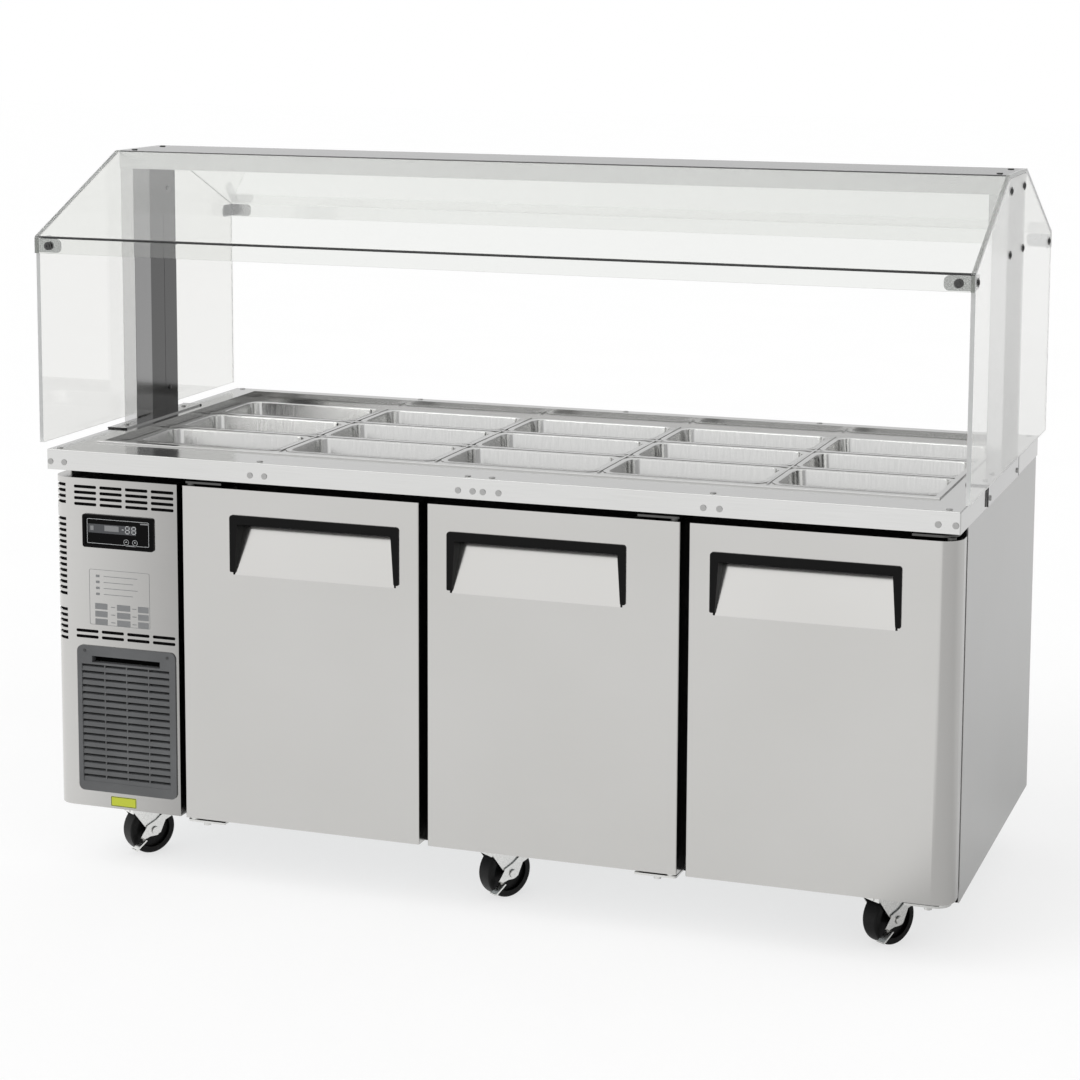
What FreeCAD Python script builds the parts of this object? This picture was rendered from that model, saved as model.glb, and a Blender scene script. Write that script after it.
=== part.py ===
"""Mobile refrigerated salad bar, one solid per sub-part.

Frame: +X to the customer's right along the counter, +Y to the back, +Z up.
Origin: on the floor, below the centre of the counter. Millimetres.
"""

import FreeCAD
import Part
import math
import os

os.makedirs("parts", exist_ok=True)

Vector = FreeCAD.Vector
UP = Vector(0, 0, 1)
RIGHT = Vector(1, 0, 0)
BACK = Vector(0, 1, 0)

# ---------------------------------------------------------------- driving dimensions

counter_width = 1800.0
counter_depth = 850.0
counter_height = 850.0
apron_height = 40.0
guard_width = 1830.0
guard_depth = 860.0
guard_height = 1415.0

sheet = 2.0
thin_sheet = 1.5
acrylic = 6.0
touch_gap = 0.3

half_width = counter_width / 2
half_depth = counter_depth / 2
apron_bottom = counter_height - apron_height

# cabinet case under the worktop
case_half_width = half_width - 2.5
case_back = half_depth - 2.5
case_front = -337.0
case_bottom = 116.0
inner_half_width = case_half_width - sheet
inner_back = case_back - sheet
floor_top = case_bottom + sheet
foam_front = -334.0
frame_front = -341.0
partition_x = -622.0

# doors
door_count = 3
door_width = 492.0
door_gap = 17.0
door_face = -417.0
door_rear = -358.0
door_bottom = 134.0
door_top = 794.5
door_corner_radius = 38.0
fold_radius = 3.0
hinge_inset = 14.0
corner_hinge_inset = 20.0
hinge_pin_radius = 5.0
hinge_pin_clearance = 0.06

# recessed pull of each door
handle_width = 350.0
handle_free_margin = 40.0
handle_top = 744.5
handle_bottom = 633.0
handle_bar_height = 17.5
handle_proud = 3.0
cheek_top_width = 16.0
cheek_bottom_width = 10.0
pocket_side_inset = 6.0
pocket_depth = 32.0

# cold compartment behind the doors
compartment_left = -577.5
compartment_right = 852.5
compartment_back = 378.5
compartment_bottom = 160.5
compartment_top = 664.5
mullion_centres = (-108.0, 399.0)
mullion_width = 78.0
mullion_depth = 34.0
shelf_height = 408.0

# pan well
opening_half_width = 834.0
opening_front = -317.0
opening_back = 378.0
rim_height = 3.0
rim_width = 9.0
ledge_top = 835.0
well_bottom = 700.0
pan_columns = 5
pan_rows = 3
pan_length = 325.0
pan_width = 176.0
pan_depth = 100.0
pan_wall = 1.2
pan_flange = 11.0
column_pitch = 332.0
row_pitch = 190.0
back_row_y = 255.0
ledge_grip = 9.0

# machine compartment front, on the left
machine_right = -622.0
machine_corner_radius = 38.0
machine_top = 795.0
machine_bottom = 134.5
slot_length = 49.0
slot_pitch_x = 56.0
slot_height = 6.0
slot_pitch_z = 11.5

# guard and posts
post_outer = 907.0
post_thickness = 30.0
post_half_depth = 92.8
channel_half_depth = 95.0
channel_height = 34.0
top_half_depth = 97.0
slope_bottom = 1267.0
lip_bottom = 1235.0
end_panel_bottom = 862.0
foot_thickness = 3.0

# casters
caster_x = (-786.0, -14.0, 742.0)
caster_front_y = -282.0
caster_rear_y = 316.0
caster_turn = 56.0
wheel_radius = 50.0
wheel_width = 37.0
caster_trail = 22.0
axle_radius = 5.0
kingpin_radius = 6.0
running_clearance = 0.06


# ---------------------------------------------------------------- helpers

def box(x_low, x_high, y_low, y_high, z_low, z_high):
    """Box between two corners."""
    corner = Vector(x_low, y_low, z_low)
    return Part.makeBox(x_high - x_low, y_high - y_low, z_high - z_low, corner)


def rod(radius, start, end):
    """Round bar between two points."""
    along = end - start
    return Part.makeCylinder(radius, along.Length, start, along)


def fuse(shapes):
    """Union of shapes that meet or overlap."""
    first = shapes[0]
    return first.multiFuse(shapes[1:]).removeSplitter()


def cut(shape, tools):
    """Shape with every tool taken away."""
    for tool in tools:
        shape = shape.cut(tool)
    return shape


def group(shapes):
    """Several separate solids kept in one sub-part."""
    return Part.makeCompound(shapes)


def save(name, shape):
    """Write one sub-part."""
    shape.exportStep("parts/" + name + ".step")


def prism_x(outline, x_low, x_high):
    """Outline of (y, z) points, closed and drawn out along X."""
    points = [Vector(x_low, y, z) for y, z in outline]
    wire = Part.makePolygon(points + [points[0]])
    return Part.Face(wire).extrude(Vector(x_high - x_low, 0, 0))


def prism_y(outline, y_low, y_high):
    """Outline of (x, z) points, closed and drawn out along Y."""
    points = [Vector(x, y_low, z) for x, z in outline]
    wire = Part.makePolygon(points + [points[0]])
    return Part.Face(wire).extrude(Vector(0, y_high - y_low, 0))


def is_along(edge, direction):
    """True for a straight edge parallel to a direction."""
    if edge.Curve.TypeId != "Part::GeomLine":
        return False
    run = edge.Vertexes[1].Point - edge.Vertexes[0].Point
    return abs(abs(run.dot(direction)) - run.Length) < 1e-6


def upright_edges(shape):
    """Straight vertical edges."""
    return [edge for edge in shape.Edges if is_along(edge, UP)]


def rounded_box(x_low, x_high, y_low, y_high, z_low, z_high, radius):
    """Box with its four upright edges rounded."""
    block = box(x_low, x_high, y_low, y_high, z_low, z_high)
    return block.makeFillet(radius, upright_edges(block))


def rounded_plate(x_low, x_high, y_low, y_high, z_low, z_high, radius):
    """Box standing in the XZ plane with its four Y edges rounded."""
    block = box(x_low, x_high, y_low, y_high, z_low, z_high)
    return block.makeFillet(radius, [edge for edge in block.Edges if is_along(edge, BACK)])


def offset_outline(points, distance):
    """Open outline moved to its right-hand side by a distance, with mitred corners."""
    moved = []
    for index, (y, z) in enumerate(points):
        normals = []
        for start in (index - 1, index):
            if 0 <= start and start + 1 < len(points):
                run_y = points[start + 1][0] - points[start][0]
                run_z = points[start + 1][1] - points[start][1]
                length = math.hypot(run_y, run_z)
                normals.append((run_z / length, -run_y / length))
        mean_y = sum(normal[0] for normal in normals)
        mean_z = sum(normal[1] for normal in normals)
        length = math.hypot(mean_y, mean_z)
        mean_y /= length
        mean_z /= length
        stretch = distance / (mean_y * normals[0][0] + mean_z * normals[0][1])
        moved.append((y + mean_y * stretch, z + mean_z * stretch))
    return moved


# ---------------------------------------------------------------- worktop and pan well

def make_worktop():
    """Stainless top with a turned-down apron and the opening for the pans."""
    outer = box(-half_width, half_width, -half_depth, half_depth, apron_bottom, counter_height)
    soft_edges = upright_edges(outer)
    for edge in outer.Edges:
        if edge.BoundBox.ZMin > counter_height - 1:
            soft_edges.append(edge)
    bend_radius = 2.5
    outer = outer.makeFillet(bend_radius, soft_edges)
    hollow = box(-half_width + sheet, half_width - sheet, -half_depth + sheet, half_depth - sheet,
                 apron_bottom, counter_height - sheet)
    opening = box(-opening_half_width, opening_half_width, opening_front, opening_back,
                  apron_bottom, counter_height)
    return cut(outer, [hollow, opening])


def pan_centres(row):
    """Centres of the pans of one row, row 0 at the front."""
    centre_y = back_row_y - (pan_rows - 1 - row) * row_pitch
    first_x = -(pan_columns - 1) / 2 * column_pitch
    return [(first_x + column * column_pitch, centre_y) for column in range(pan_columns)]


def ledge_window():
    """Limits of the hole that the pans hang in: x half width, front and back."""
    half_x = (pan_columns - 1) / 2 * column_pitch + pan_length / 2 - ledge_grip
    front = back_row_y - (pan_rows - 1) * row_pitch - pan_width / 2 + ledge_grip
    back = back_row_y + pan_width / 2 - ledge_grip
    return half_x, front, back


def ring_strips(outer, inner, low, high):
    """Four boxes between two level rectangles, each given by x half width, front and back."""
    outer_x, outer_front, outer_back = outer
    inner_x, inner_front, inner_back_edge = inner
    return [box(-outer_x, outer_x, outer_front, inner_front, low, high),
            box(-outer_x, outer_x, inner_back_edge, outer_back, low, high),
            box(-outer_x, -inner_x, inner_front, inner_back_edge, low, high),
            box(inner_x, outer_x, inner_front, inner_back_edge, low, high)]


def make_well_frame():
    """Drop-in frame made of strips: a raised rim, a short wall and the ledge for the pans."""
    rim_top = counter_height + rim_height
    low = ledge_top - thin_sheet
    opening = (opening_half_width, opening_front, opening_back)
    outside = (opening_half_width + rim_width, opening_front - rim_width, opening_back + rim_width)
    inside = (opening_half_width - thin_sheet, opening_front + thin_sheet, opening_back - thin_sheet)
    rim = box(-outside[0], outside[0], outside[1], outside[2], counter_height, rim_top)
    rim_bend = 1.2
    rim = rim.makeFillet(rim_bend, [edge for edge in rim.Edges if edge.BoundBox.ZMin > rim_top - 1])
    pieces = [rim.common(strip) for strip in ring_strips(outside, inside, counter_height, rim_top)]
    pieces += ring_strips(opening, inside, low, counter_height)
    pieces += ring_strips(inside, ledge_window(), low, ledge_top)
    return group(pieces)


def make_pan_bars():
    """Loose bars between the pans: four along Y, and two along X in each column."""
    rib_height = 2.0
    bar_plate = 2.0
    web_depth = 14.0
    column_web = 4.0
    column_flange = (column_pitch - pan_length) / 2 + ledge_grip
    row_flange = (row_pitch - pan_width) / 2 + ledge_grip - 1
    row_rib = 5.0
    rest = 8.0
    half_x, front, back = ledge_window()
    plate_bottom = ledge_top - bar_plate
    bars = []
    for step in range(1, pan_columns):
        x = (step - pan_columns / 2) * column_pitch
        plate = box(x - column_flange, x + column_flange, front, back, plate_bottom, ledge_top)
        web = box(x - column_web / 2, x + column_web / 2, front, back,
                  plate_bottom - web_depth, ledge_top)
        rib = box(x - column_web / 2, x + column_web / 2, front - rest, back + rest,
                  ledge_top, ledge_top + rib_height)
        bars.append(fuse([plate, web, rib]))
    for row in range(1, pan_rows):
        for x, y in pan_centres(row):
            y -= row_pitch / 2
            plate_half = half_x - (pan_columns - 1) / 2 * column_pitch - 0.5
            rib_half = column_pitch / 2 - column_web / 2 - 0.5
            plate = box(x - plate_half, x + plate_half, y - row_flange, y + row_flange,
                        plate_bottom, ledge_top)
            web = box(x - plate_half, x + plate_half, y - column_web / 2, y + column_web / 2,
                      plate_bottom - web_depth, ledge_top)
            rib = box(x - rib_half, x + rib_half, y - row_rib, y + row_rib,
                      ledge_top, ledge_top + rib_height)
            bars.append(fuse([plate, web, rib]))
    return group(bars)


def rounded_wire(x, y, half_x, half_y, z, radius):
    """Flat rounded rectangle as a wire."""
    block = rounded_box(x - half_x, x + half_x, y - half_y, y + half_y, z, z + 1, radius)
    for face in block.Faces:
        if face.BoundBox.ZMax < z + 0.5:
            return face.OuterWire


def make_pan(x, y):
    """One third-size pan: tapered walls under a flat flange."""
    corner_top = 24.0
    corner_bottom = 20.0
    draft = 7.0
    pan_floor = ledge_top - pan_depth
    flange_top = ledge_top + pan_wall
    top_x = pan_length / 2 - pan_flange
    top_y = pan_width / 2 - pan_flange
    outer = Part.makeLoft([rounded_wire(x, y, top_x, top_y, ledge_top, corner_top),
                           rounded_wire(x, y, top_x - draft, top_y - draft, pan_floor, corner_bottom)],
                          True, True)
    inner = Part.makeLoft([rounded_wire(x, y, top_x - pan_wall, top_y - pan_wall, flange_top,
                                        corner_top - pan_wall),
                           rounded_wire(x, y, top_x - draft - pan_wall, top_y - draft - pan_wall,
                                        pan_floor + pan_wall, corner_bottom - pan_wall)],
                          True, True)
    flange_corner = 14.0
    flange = rounded_box(x - pan_length / 2, x + pan_length / 2, y - pan_width / 2, y + pan_width / 2,
                         ledge_top, flange_top, flange_corner)
    return cut(fuse([outer, flange]), [inner])


def make_pan_row(row):
    """The five pans of one row."""
    return group([make_pan(x, y) for x, y in pan_centres(row)])


def make_well_tub():
    """Open tub that the pans hang in: a floor and four walls."""
    gap = 4.5
    front = opening_front + gap
    back = opening_back - gap
    half_x = opening_half_width - gap
    top = ledge_top - thin_sheet
    inner_x = half_x - thin_sheet
    return group([box(-half_x, half_x, front, back, well_bottom - thin_sheet, well_bottom),
                  box(-half_x, half_x, front, front + thin_sheet, well_bottom, top),
                  box(-half_x, half_x, back - thin_sheet, back, well_bottom, top),
                  box(-half_x, -inner_x, front + thin_sheet, back - thin_sheet, well_bottom, top),
                  box(inner_x, half_x, front + thin_sheet, back - thin_sheet, well_bottom, top)])


# ---------------------------------------------------------------- cabinet

def make_insulation():
    """Foam between the case, the well tub and the compartment liner."""
    gap = 4.5
    liner = thin_sheet
    well_block_bottom = compartment_top + liner
    well_block = box(-inner_half_width, inner_half_width, foam_front, inner_back,
                     well_block_bottom, counter_height - sheet)
    cabinet_block = box(partition_x, inner_half_width, foam_front, inner_back,
                        floor_top, well_block_bottom)
    frame_space = box(-opening_half_width, opening_half_width, opening_front, opening_back,
                      ledge_top - thin_sheet, counter_height)
    tub_space = box(-opening_half_width + gap, opening_half_width - gap, opening_front + gap,
                    opening_back - gap, well_bottom - thin_sheet, ledge_top)
    compartment = box(compartment_left - liner, compartment_right + liner, foam_front,
                      compartment_back + liner, compartment_bottom - liner, compartment_top + liner)
    return cut(fuse([well_block, cabinet_block]), [frame_space, tub_space, compartment])


def make_compartment_liner():
    """Inner liner of the cold compartment, open at the front, with shelf ledges."""
    liner = thin_sheet
    ledge = 12.0
    ledge_thickness = 6.0
    outer = box(compartment_left - liner, compartment_right + liner, foam_front,
                compartment_back + liner, compartment_bottom - liner, compartment_top + liner)
    inside = box(compartment_left, compartment_right, foam_front, compartment_back,
                 compartment_bottom, compartment_top)
    shell = cut(outer, [inside])
    ledge_bottom = shelf_height - ledge_thickness
    back_ledge = box(compartment_left, compartment_right, compartment_back - ledge, compartment_back,
                     ledge_bottom, shelf_height)
    side_front = foam_front + 40
    left_ledge = box(compartment_left, compartment_left + ledge, side_front, compartment_back,
                     ledge_bottom, shelf_height)
    right_ledge = box(compartment_right - ledge, compartment_right, side_front, compartment_back,
                      ledge_bottom, shelf_height)
    return fuse([shell, back_ledge, left_ledge, right_ledge])


def make_case():
    """Back sheet, floor sheet and the partition beside the machine compartment."""
    back = box(-inner_half_width, inner_half_width, inner_back, case_back,
               case_bottom, counter_height - sheet)
    floor = box(-inner_half_width, inner_half_width, foam_front, inner_back, case_bottom, floor_top)
    partition = box(partition_x - sheet, partition_x, foam_front, inner_back,
                    floor_top, compartment_top + thin_sheet)
    gland_hole = rod(gland_radius, Vector(gland_x, inner_back - 1, gland_z),
                     Vector(gland_x, case_back + 1, gland_z))
    return group([back.cut(gland_hole), floor, partition])


def make_side_panel(side):
    """Outer side sheet, side -1 on the left and +1 on the right."""
    limits = sorted((side * inner_half_width, side * case_half_width))
    return box(limits[0], limits[1], case_front, case_back, case_bottom, counter_height - sheet)


def door_limits(index):
    """Left and right edge of a door, door 0 at the left."""
    right = case_half_width + 1.5 - (door_count - 1 - index) * (door_width + door_gap)
    return right - door_width, right


def make_face_frame():
    """Black frame that the doors close on, with mullions and shelf rests."""
    plate_left = -640.0
    rail_left = -893.0
    rail_bottom = 788.0
    plate = box(plate_left, inner_half_width, frame_front, foam_front, floor_top,
                counter_height - sheet)
    rail = box(rail_left, plate_left, frame_front, foam_front, rail_bottom, counter_height - sheet)
    edges = [compartment_left]
    for centre in mullion_centres:
        edges.append(centre - mullion_width / 2)
        edges.append(centre + mullion_width / 2)
    edges.append(compartment_right)
    bays = []
    for left, right in zip(edges[0::2], edges[1::2]):
        bays.append(box(left, right, frame_front, foam_front, compartment_bottom, compartment_top))
    pieces = [cut(fuse([plate, rail]), bays)]
    mullion_back = foam_front + mullion_depth
    for centre in mullion_centres:
        half = mullion_width / 2 - 7
        pieces.append(box(centre - half, centre + half, foam_front, mullion_back,
                          compartment_bottom, compartment_top))
        rest_half = mullion_width / 2 + 13
        rest_depth = 20.0
        rest_thickness = 6.0
        pieces.append(box(centre - rest_half, centre + rest_half, mullion_back,
                          mullion_back + rest_depth, shelf_height - rest_thickness, shelf_height))
    return fuse(pieces)


def make_shelf(left, right, front, back):
    """Wire shelf: cross rods under a row of thinner wires, with rods at its four edges."""
    rod_radius = 3.0
    wire_radius = 2.0
    wire_count = 15
    sink = 0.6
    rod_z = shelf_height + rod_radius
    wire_z = rod_z + rod_radius + wire_radius - sink
    rods = []
    for share in (0.0, 0.35, 0.65, 1.0):
        y = front + rod_radius + share * (back - front - 2 * rod_radius)
        rods.append(rod(rod_radius, Vector(left, y, rod_z), Vector(right, y, rod_z)))
    for step in range(wire_count):
        x = left + 6 + step * (right - left - 12) / (wire_count - 1)
        rods.append(rod(wire_radius, Vector(x, front, wire_z), Vector(x, back, wire_z)))
    return fuse(rods)


def make_shelves():
    """One fixed shelf behind each door."""
    front = foam_front + mullion_depth + 2
    back = compartment_back - 3
    play = 4.0
    first, second = mullion_centres
    bays = ((compartment_left, first), (first, second), (second, compartment_right))
    return group([make_shelf(left + play, right - play, front, back) for left, right in bays])


# ---------------------------------------------------------------- doors

def hinge_side(index):
    """Side of a door that its hinge is on: -1 left, +1 right."""
    return -1 if index == 0 else 1


def hinge_place(index):
    """X and Y of a door's hinge axis, further in where it sits behind the well rounded corner."""
    left, right = door_limits(index)
    inset = corner_hinge_inset if index == door_count - 1 else hinge_inset
    x = left + inset if hinge_side(index) < 0 else right - inset
    return x, door_face + inset


def handle_left(index):
    """Left edge of the pull, which sits near the free edge of the door."""
    left, right = door_limits(index)
    if hinge_side(index) < 0:
        return right - handle_free_margin - handle_width
    return left + handle_free_margin


def pocket_outline(wall):
    """Section of the pull's pocket, grown by a wall: a slope, with finger room behind the bar."""
    slope_foot = handle_bottom - 5 - 2 * wall
    slope_head = handle_top - handle_bar_height - 2
    pocket_top = handle_top - 2.5 + wall
    rear = door_face + pocket_depth + wall
    return [(door_face, slope_foot), (rear, slope_head), (rear, pocket_top), (door_face, pocket_top)]


def door_block(index, inset):
    """Block of a door, shrunk by an inset; the last door's outer front corner is well rounded."""
    left, right = door_limits(index)
    front = door_face + inset
    block = box(left + inset, right - inset, front, door_rear, door_bottom + inset, door_top - inset)
    if index == door_count - 1:
        corner = [edge for edge in upright_edges(block)
                  if edge.BoundBox.XMax > right - inset - 1 and edge.BoundBox.YMax < front + 1]
        block = block.makeFillet(door_corner_radius - inset, corner)
    folds = [edge for edge in upright_edges(block)
             if edge.BoundBox.YMax < front + 0.01 and (edge.BoundBox.XMin < left + inset + 1
                                                       or edge.BoundBox.XMax > right - inset - 1)]
    return block.makeFillet(fold_radius - inset, folds) if folds else block


def pocket_block(index, wall):
    """Space of the pull's pocket, grown by a wall thickness."""
    left = handle_left(index) + pocket_side_inset
    right = handle_left(index) + handle_width - pocket_side_inset
    return prism_x(pocket_outline(wall), left - wall, right + wall)


def hinge_bores(index):
    """Cutters for the bores of the lower and upper hinge pin."""
    x, y = hinge_place(index)
    radius = hinge_pin_radius + hinge_pin_clearance
    depth = 24.0
    lower = rod(radius, Vector(x, y, door_bottom), Vector(x, y, door_bottom + depth))
    upper = rod(radius, Vector(x, y, door_top - depth), Vector(x, y, door_top))
    return [lower, upper]


def make_door_skin(index):
    """Folded stainless skin of a door, open at the back, with the sheet pocket of the pull."""
    shell = door_block(index, 0).cut(door_block(index, thin_sheet))
    pocket_wall = pocket_block(index, thin_sheet).common(door_block(index, 0))
    return cut(fuse([shell, pocket_wall]), [pocket_block(index, 0)] + hinge_bores(index))


def make_door_core(index):
    """Foam core and inner liner of a door, filling its skin."""
    return cut(door_block(index, thin_sheet), [pocket_block(index, thin_sheet)] + hinge_bores(index))


def make_handle(index):
    """Black trim of the pull: a bar across the top and two tapering cheeks."""
    left = handle_left(index)
    right = left + handle_width
    front = door_face - handle_proud
    bar_bottom = handle_top - handle_bar_height
    outline = [(left, handle_bottom), (left, handle_top), (right, handle_top), (right, handle_bottom),
               (right - cheek_bottom_width, handle_bottom), (right - cheek_top_width, bar_bottom),
               (left + cheek_top_width, bar_bottom), (left + cheek_bottom_width, handle_bottom)]
    face_plate = prism_y(outline, front, door_face)
    top_corner = 6.0
    tip_corner = 3.0
    tops = [edge for edge in face_plate.Edges
            if is_along(edge, BACK) and edge.BoundBox.ZMin > handle_top - 1]
    face_plate = face_plate.makeFillet(top_corner, tops)
    tips = [edge for edge in face_plate.Edges
            if is_along(edge, BACK) and edge.BoundBox.ZMax < handle_bottom + 1]
    face_plate = face_plate.makeFillet(tip_corner, tips)
    bar_depth = 10.0
    bar = box(left + pocket_side_inset, right - pocket_side_inset, door_face, door_face + bar_depth,
              bar_bottom, handle_top - 2.5)
    pieces = [face_plate, bar]
    rear = door_face + pocket_depth
    for edge, inward in ((left, 1), (right, -1)):
        outer_x = edge + inward * pocket_side_inset
        taper = [(outer_x, handle_bottom - 5), (outer_x, handle_top - 2.5),
                 (edge + inward * cheek_top_width, handle_top - 2.5),
                 (edge + inward * cheek_top_width, bar_bottom),
                 (edge + inward * cheek_bottom_width, handle_bottom),
                 (edge + inward * cheek_bottom_width, handle_bottom - 5)]
        wedge = prism_y(taper, door_face, rear)
        limits = sorted((outer_x, edge + inward * cheek_top_width))
        pieces.append(wedge.common(prism_x(pocket_outline(0), limits[0], limits[1])))
    return fuse(pieces)


def make_gasket(index):
    """Magnetic seal on the back of a door."""
    left, right = door_limits(index)
    inset = 16.0
    width = 14.0
    rear = frame_front - 0.5
    outer = box(left + inset, right - inset, door_rear, rear, door_bottom + inset, door_top - inset)
    inside = box(left + inset + width, right - inset - width, door_rear, rear,
                 door_bottom + inset + width, door_top - inset - width)
    return cut(outer, [inside])


bracket_sheet = 4.0
bracket_overhang = 12.0
bracket_reach = 68.0
bracket_corner = 8.0
bracket_last_corner = 28.0


def bracket_limits(index):
    """Left and right edge of a hinge bracket."""
    x = hinge_place(index)[0]
    inward = -hinge_side(index)
    return sorted((x - inward * bracket_overhang, x + inward * bracket_reach))


def bracket_plate(index, low):
    """Level plate of a hinge bracket, with its outer front corner rounded like the door's."""
    x, y = hinge_place(index)
    left, right = bracket_limits(index)
    plate = box(left, right, y - 10, frame_front, low, low + bracket_sheet)
    corner = [edge for edge in upright_edges(plate)
              if edge.BoundBox.YMax < y and (edge.BoundBox.XMax - x) * hinge_side(index) > 0]
    radius = bracket_last_corner if index == door_count - 1 else bracket_corner
    return plate.makeFillet(radius, corner)


def bracket_foot(index, low, height):
    """Upright plate of a hinge bracket, screwed to the face frame."""
    left, right = bracket_limits(index)
    return box(left, right, frame_front - bracket_sheet, frame_front, low, low + height)


def make_hinge_brackets():
    """Plates with a pin above and below each door, screwed to the face frame."""
    foot_height = 20.0
    gap = 4.5
    boss_radius = 9.0
    pin_reach = 20.0
    brackets = []
    for index in range(door_count):
        x, y = hinge_place(index)
        lower_top = door_bottom - gap
        lower = lower_top - bracket_sheet
        boss = rod(boss_radius, Vector(x, y, lower_top), Vector(x, y, door_bottom - touch_gap))
        pin = rod(hinge_pin_radius, Vector(x, y, lower_top), Vector(x, y, door_bottom + pin_reach))
        adjuster_x = x - hinge_side(index) * 26
        adjuster = rod(7.0, Vector(adjuster_x, y, lower - 6), Vector(adjuster_x, y, lower))
        brackets.append(fuse([bracket_plate(index, lower), bracket_foot(index, lower, foot_height),
                              boss, pin, adjuster]))
        upper = door_top + gap
        boss = rod(boss_radius, Vector(x, y, door_top + touch_gap), Vector(x, y, upper))
        pin = rod(hinge_pin_radius, Vector(x, y, door_top - pin_reach), Vector(x, y, upper))
        brackets.append(fuse([bracket_plate(index, upper), bracket_foot(index, upper, foot_height),
                              boss, pin]))
    return group(brackets)


# ---------------------------------------------------------------- machine compartment

control_left = -827.0
control_right = -672.0
control_bottom = 659.0
control_top = 725.0
control_body_inset = 7.0
button_centres = (-731.0, -712.0)
button_z = 674.5
button_radius = 7.0
button_travel = 1.5
grille_left = -844.0
grille_right = -629.0
grille_bottom = 167.0
grille_top = 461.0
fan_x = -745.0
fan_z = 310.0
fan_radius = 88.0
gland_x = -760.0
gland_z = 220.0
gland_radius = 11.0
gland_bore = 6.0


def slot_grid(rows, top_z):
    """Cutters for rows of four level slots in the front sheet."""
    left = -846.0
    cutters = []
    for row in range(rows):
        z = top_z - row * slot_pitch_z
        for column in range(4):
            x = left + column * slot_pitch_x
            cutters.append(rounded_plate(x, x + slot_length, door_face - 1, door_face + sheet,
                                         z - slot_height / 2, z + slot_height / 2,
                                         slot_height / 2 - 0.2))
    return cutters


def side_slots(count, top_z):
    """Cutters for a column of slots that wrap the rounded corner."""
    cutters = []
    for step in range(count):
        z = top_z - step * slot_pitch_z
        cutters.append(box(-case_half_width - 1, -case_half_width + 33, door_face - 1,
                           door_face + 66, z - slot_height / 2, z + slot_height / 2))
    return cutters


def machine_block(inset):
    """Rounded block of the machine front, shrunk by an inset; open at the back when inset."""
    left = -case_half_width + inset
    front = door_face + inset
    back = frame_front + (1 if inset else 0)
    block = box(left, machine_right - inset, front, back, machine_bottom + inset,
                machine_top - inset)
    corner = [edge for edge in upright_edges(block)
              if edge.BoundBox.XMax < left + 1 and edge.BoundBox.YMax < front + 1]
    return block.makeFillet(machine_corner_radius - inset, corner)


def make_machine_panel():
    """Folded stainless front of the machine compartment, with air slots and cut-outs."""
    hollow = machine_block(thin_sheet)
    shell = machine_block(0).cut(hollow)
    top_slots_z = counter_height - 72.0
    lower_slots_z = counter_height - 360.0
    cutters = slot_grid(4, top_slots_z) + slot_grid(2, lower_slots_z)
    corner_cutters = (side_slots(4, counter_height - 70.0) + side_slots(14, counter_height - 138.5)
                      + side_slots(6, counter_height - 320.0))
    core_guard = machine_block(8.0)
    for cutter in corner_cutters:
        cutters.append(cutter.cut(core_guard))
    margin = 8.0
    cutters.append(box(grille_left + margin, grille_right - margin, door_face - 1, door_face + sheet,
                       grille_bottom + margin, grille_top - margin))
    cutters.append(box(control_left + control_body_inset, control_right - control_body_inset,
                       door_face - 1, door_face + sheet, control_bottom + control_body_inset,
                       control_top - control_body_inset))
    return cut(shell, cutters)


def make_air_grille():
    """Louvred air intake with a finger slot along its top."""
    proud = 3.0
    depth = 12.0
    corner = 12.0
    slat_count = 17
    slat_height = 8.3
    window_left = grille_left + 10
    window_right = grille_right - 13
    window_bottom = grille_bottom + 19
    window_top = grille_top - 37
    front = door_face - proud
    back = door_face + depth
    flange = rounded_plate(grille_left, grille_right, front, door_face, grille_bottom, grille_top,
                           corner)
    inset = 8.5
    body = box(grille_left + inset, grille_right - inset, door_face, back,
               grille_bottom + inset, grille_top - inset)
    window = box(window_left, window_right, front, back, window_bottom, window_top)
    slot_inset = 33.0
    finger_slot = box(grille_left + slot_inset, grille_right - slot_inset, front, back,
                      grille_top - 33, grille_top - 20)
    pieces = [cut(fuse([flange, body]), [window, finger_slot])]
    pitch = (window_top - window_bottom) / slat_count
    for step in range(slat_count):
        z = window_bottom + step * pitch
        outline = [(front + 1, z), (front + 2, z + slat_height), (back - 2, z + slat_height + 3),
                   (back - 2, z + slat_height)]
        pieces.append(prism_x(outline, window_left, window_right))
    rib_half = 1.2
    for share in (0.26, 0.51, 0.76):
        x = window_left + share * (window_right - window_left)
        pieces.append(box(x - rib_half, x + rib_half, front + 1.5, back - 3, window_bottom, window_top))
    return fuse(pieces)


def make_control_panel():
    """Black bezel with a sunk display window and wells for the two buttons."""
    proud = 4.0
    body_depth = 20.0
    corner = 5.0
    front = door_face - proud
    bezel = rounded_plate(control_left, control_right, front, door_face, control_bottom, control_top,
                          corner)
    inset = control_body_inset + touch_gap
    body = box(control_left + inset, control_right - inset, door_face, door_face + body_depth,
               control_bottom + inset, control_top - inset)
    rim = 6.0
    sunk = 1.5
    recess = box(control_left + rim, control_right - rim, front, front + sunk,
                 control_bottom + rim, control_top - rim)
    wells = []
    for x in button_centres:
        wells.append(rod(button_radius + touch_gap, Vector(x, front, button_z),
                         Vector(x, front + 12, button_z)))
    return cut(fuse([bezel, body]), [recess] + wells)


def make_button(x):
    """Round push button."""
    front = door_face - 3.5
    length = 8.0
    cap = rod(button_radius, Vector(x, front, button_z), Vector(x, front + length, button_z))
    rims = [edge for edge in cap.Edges if edge.BoundBox.YMax < front + 0.5]
    return cap.makeFillet(1.0, rims)


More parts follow.
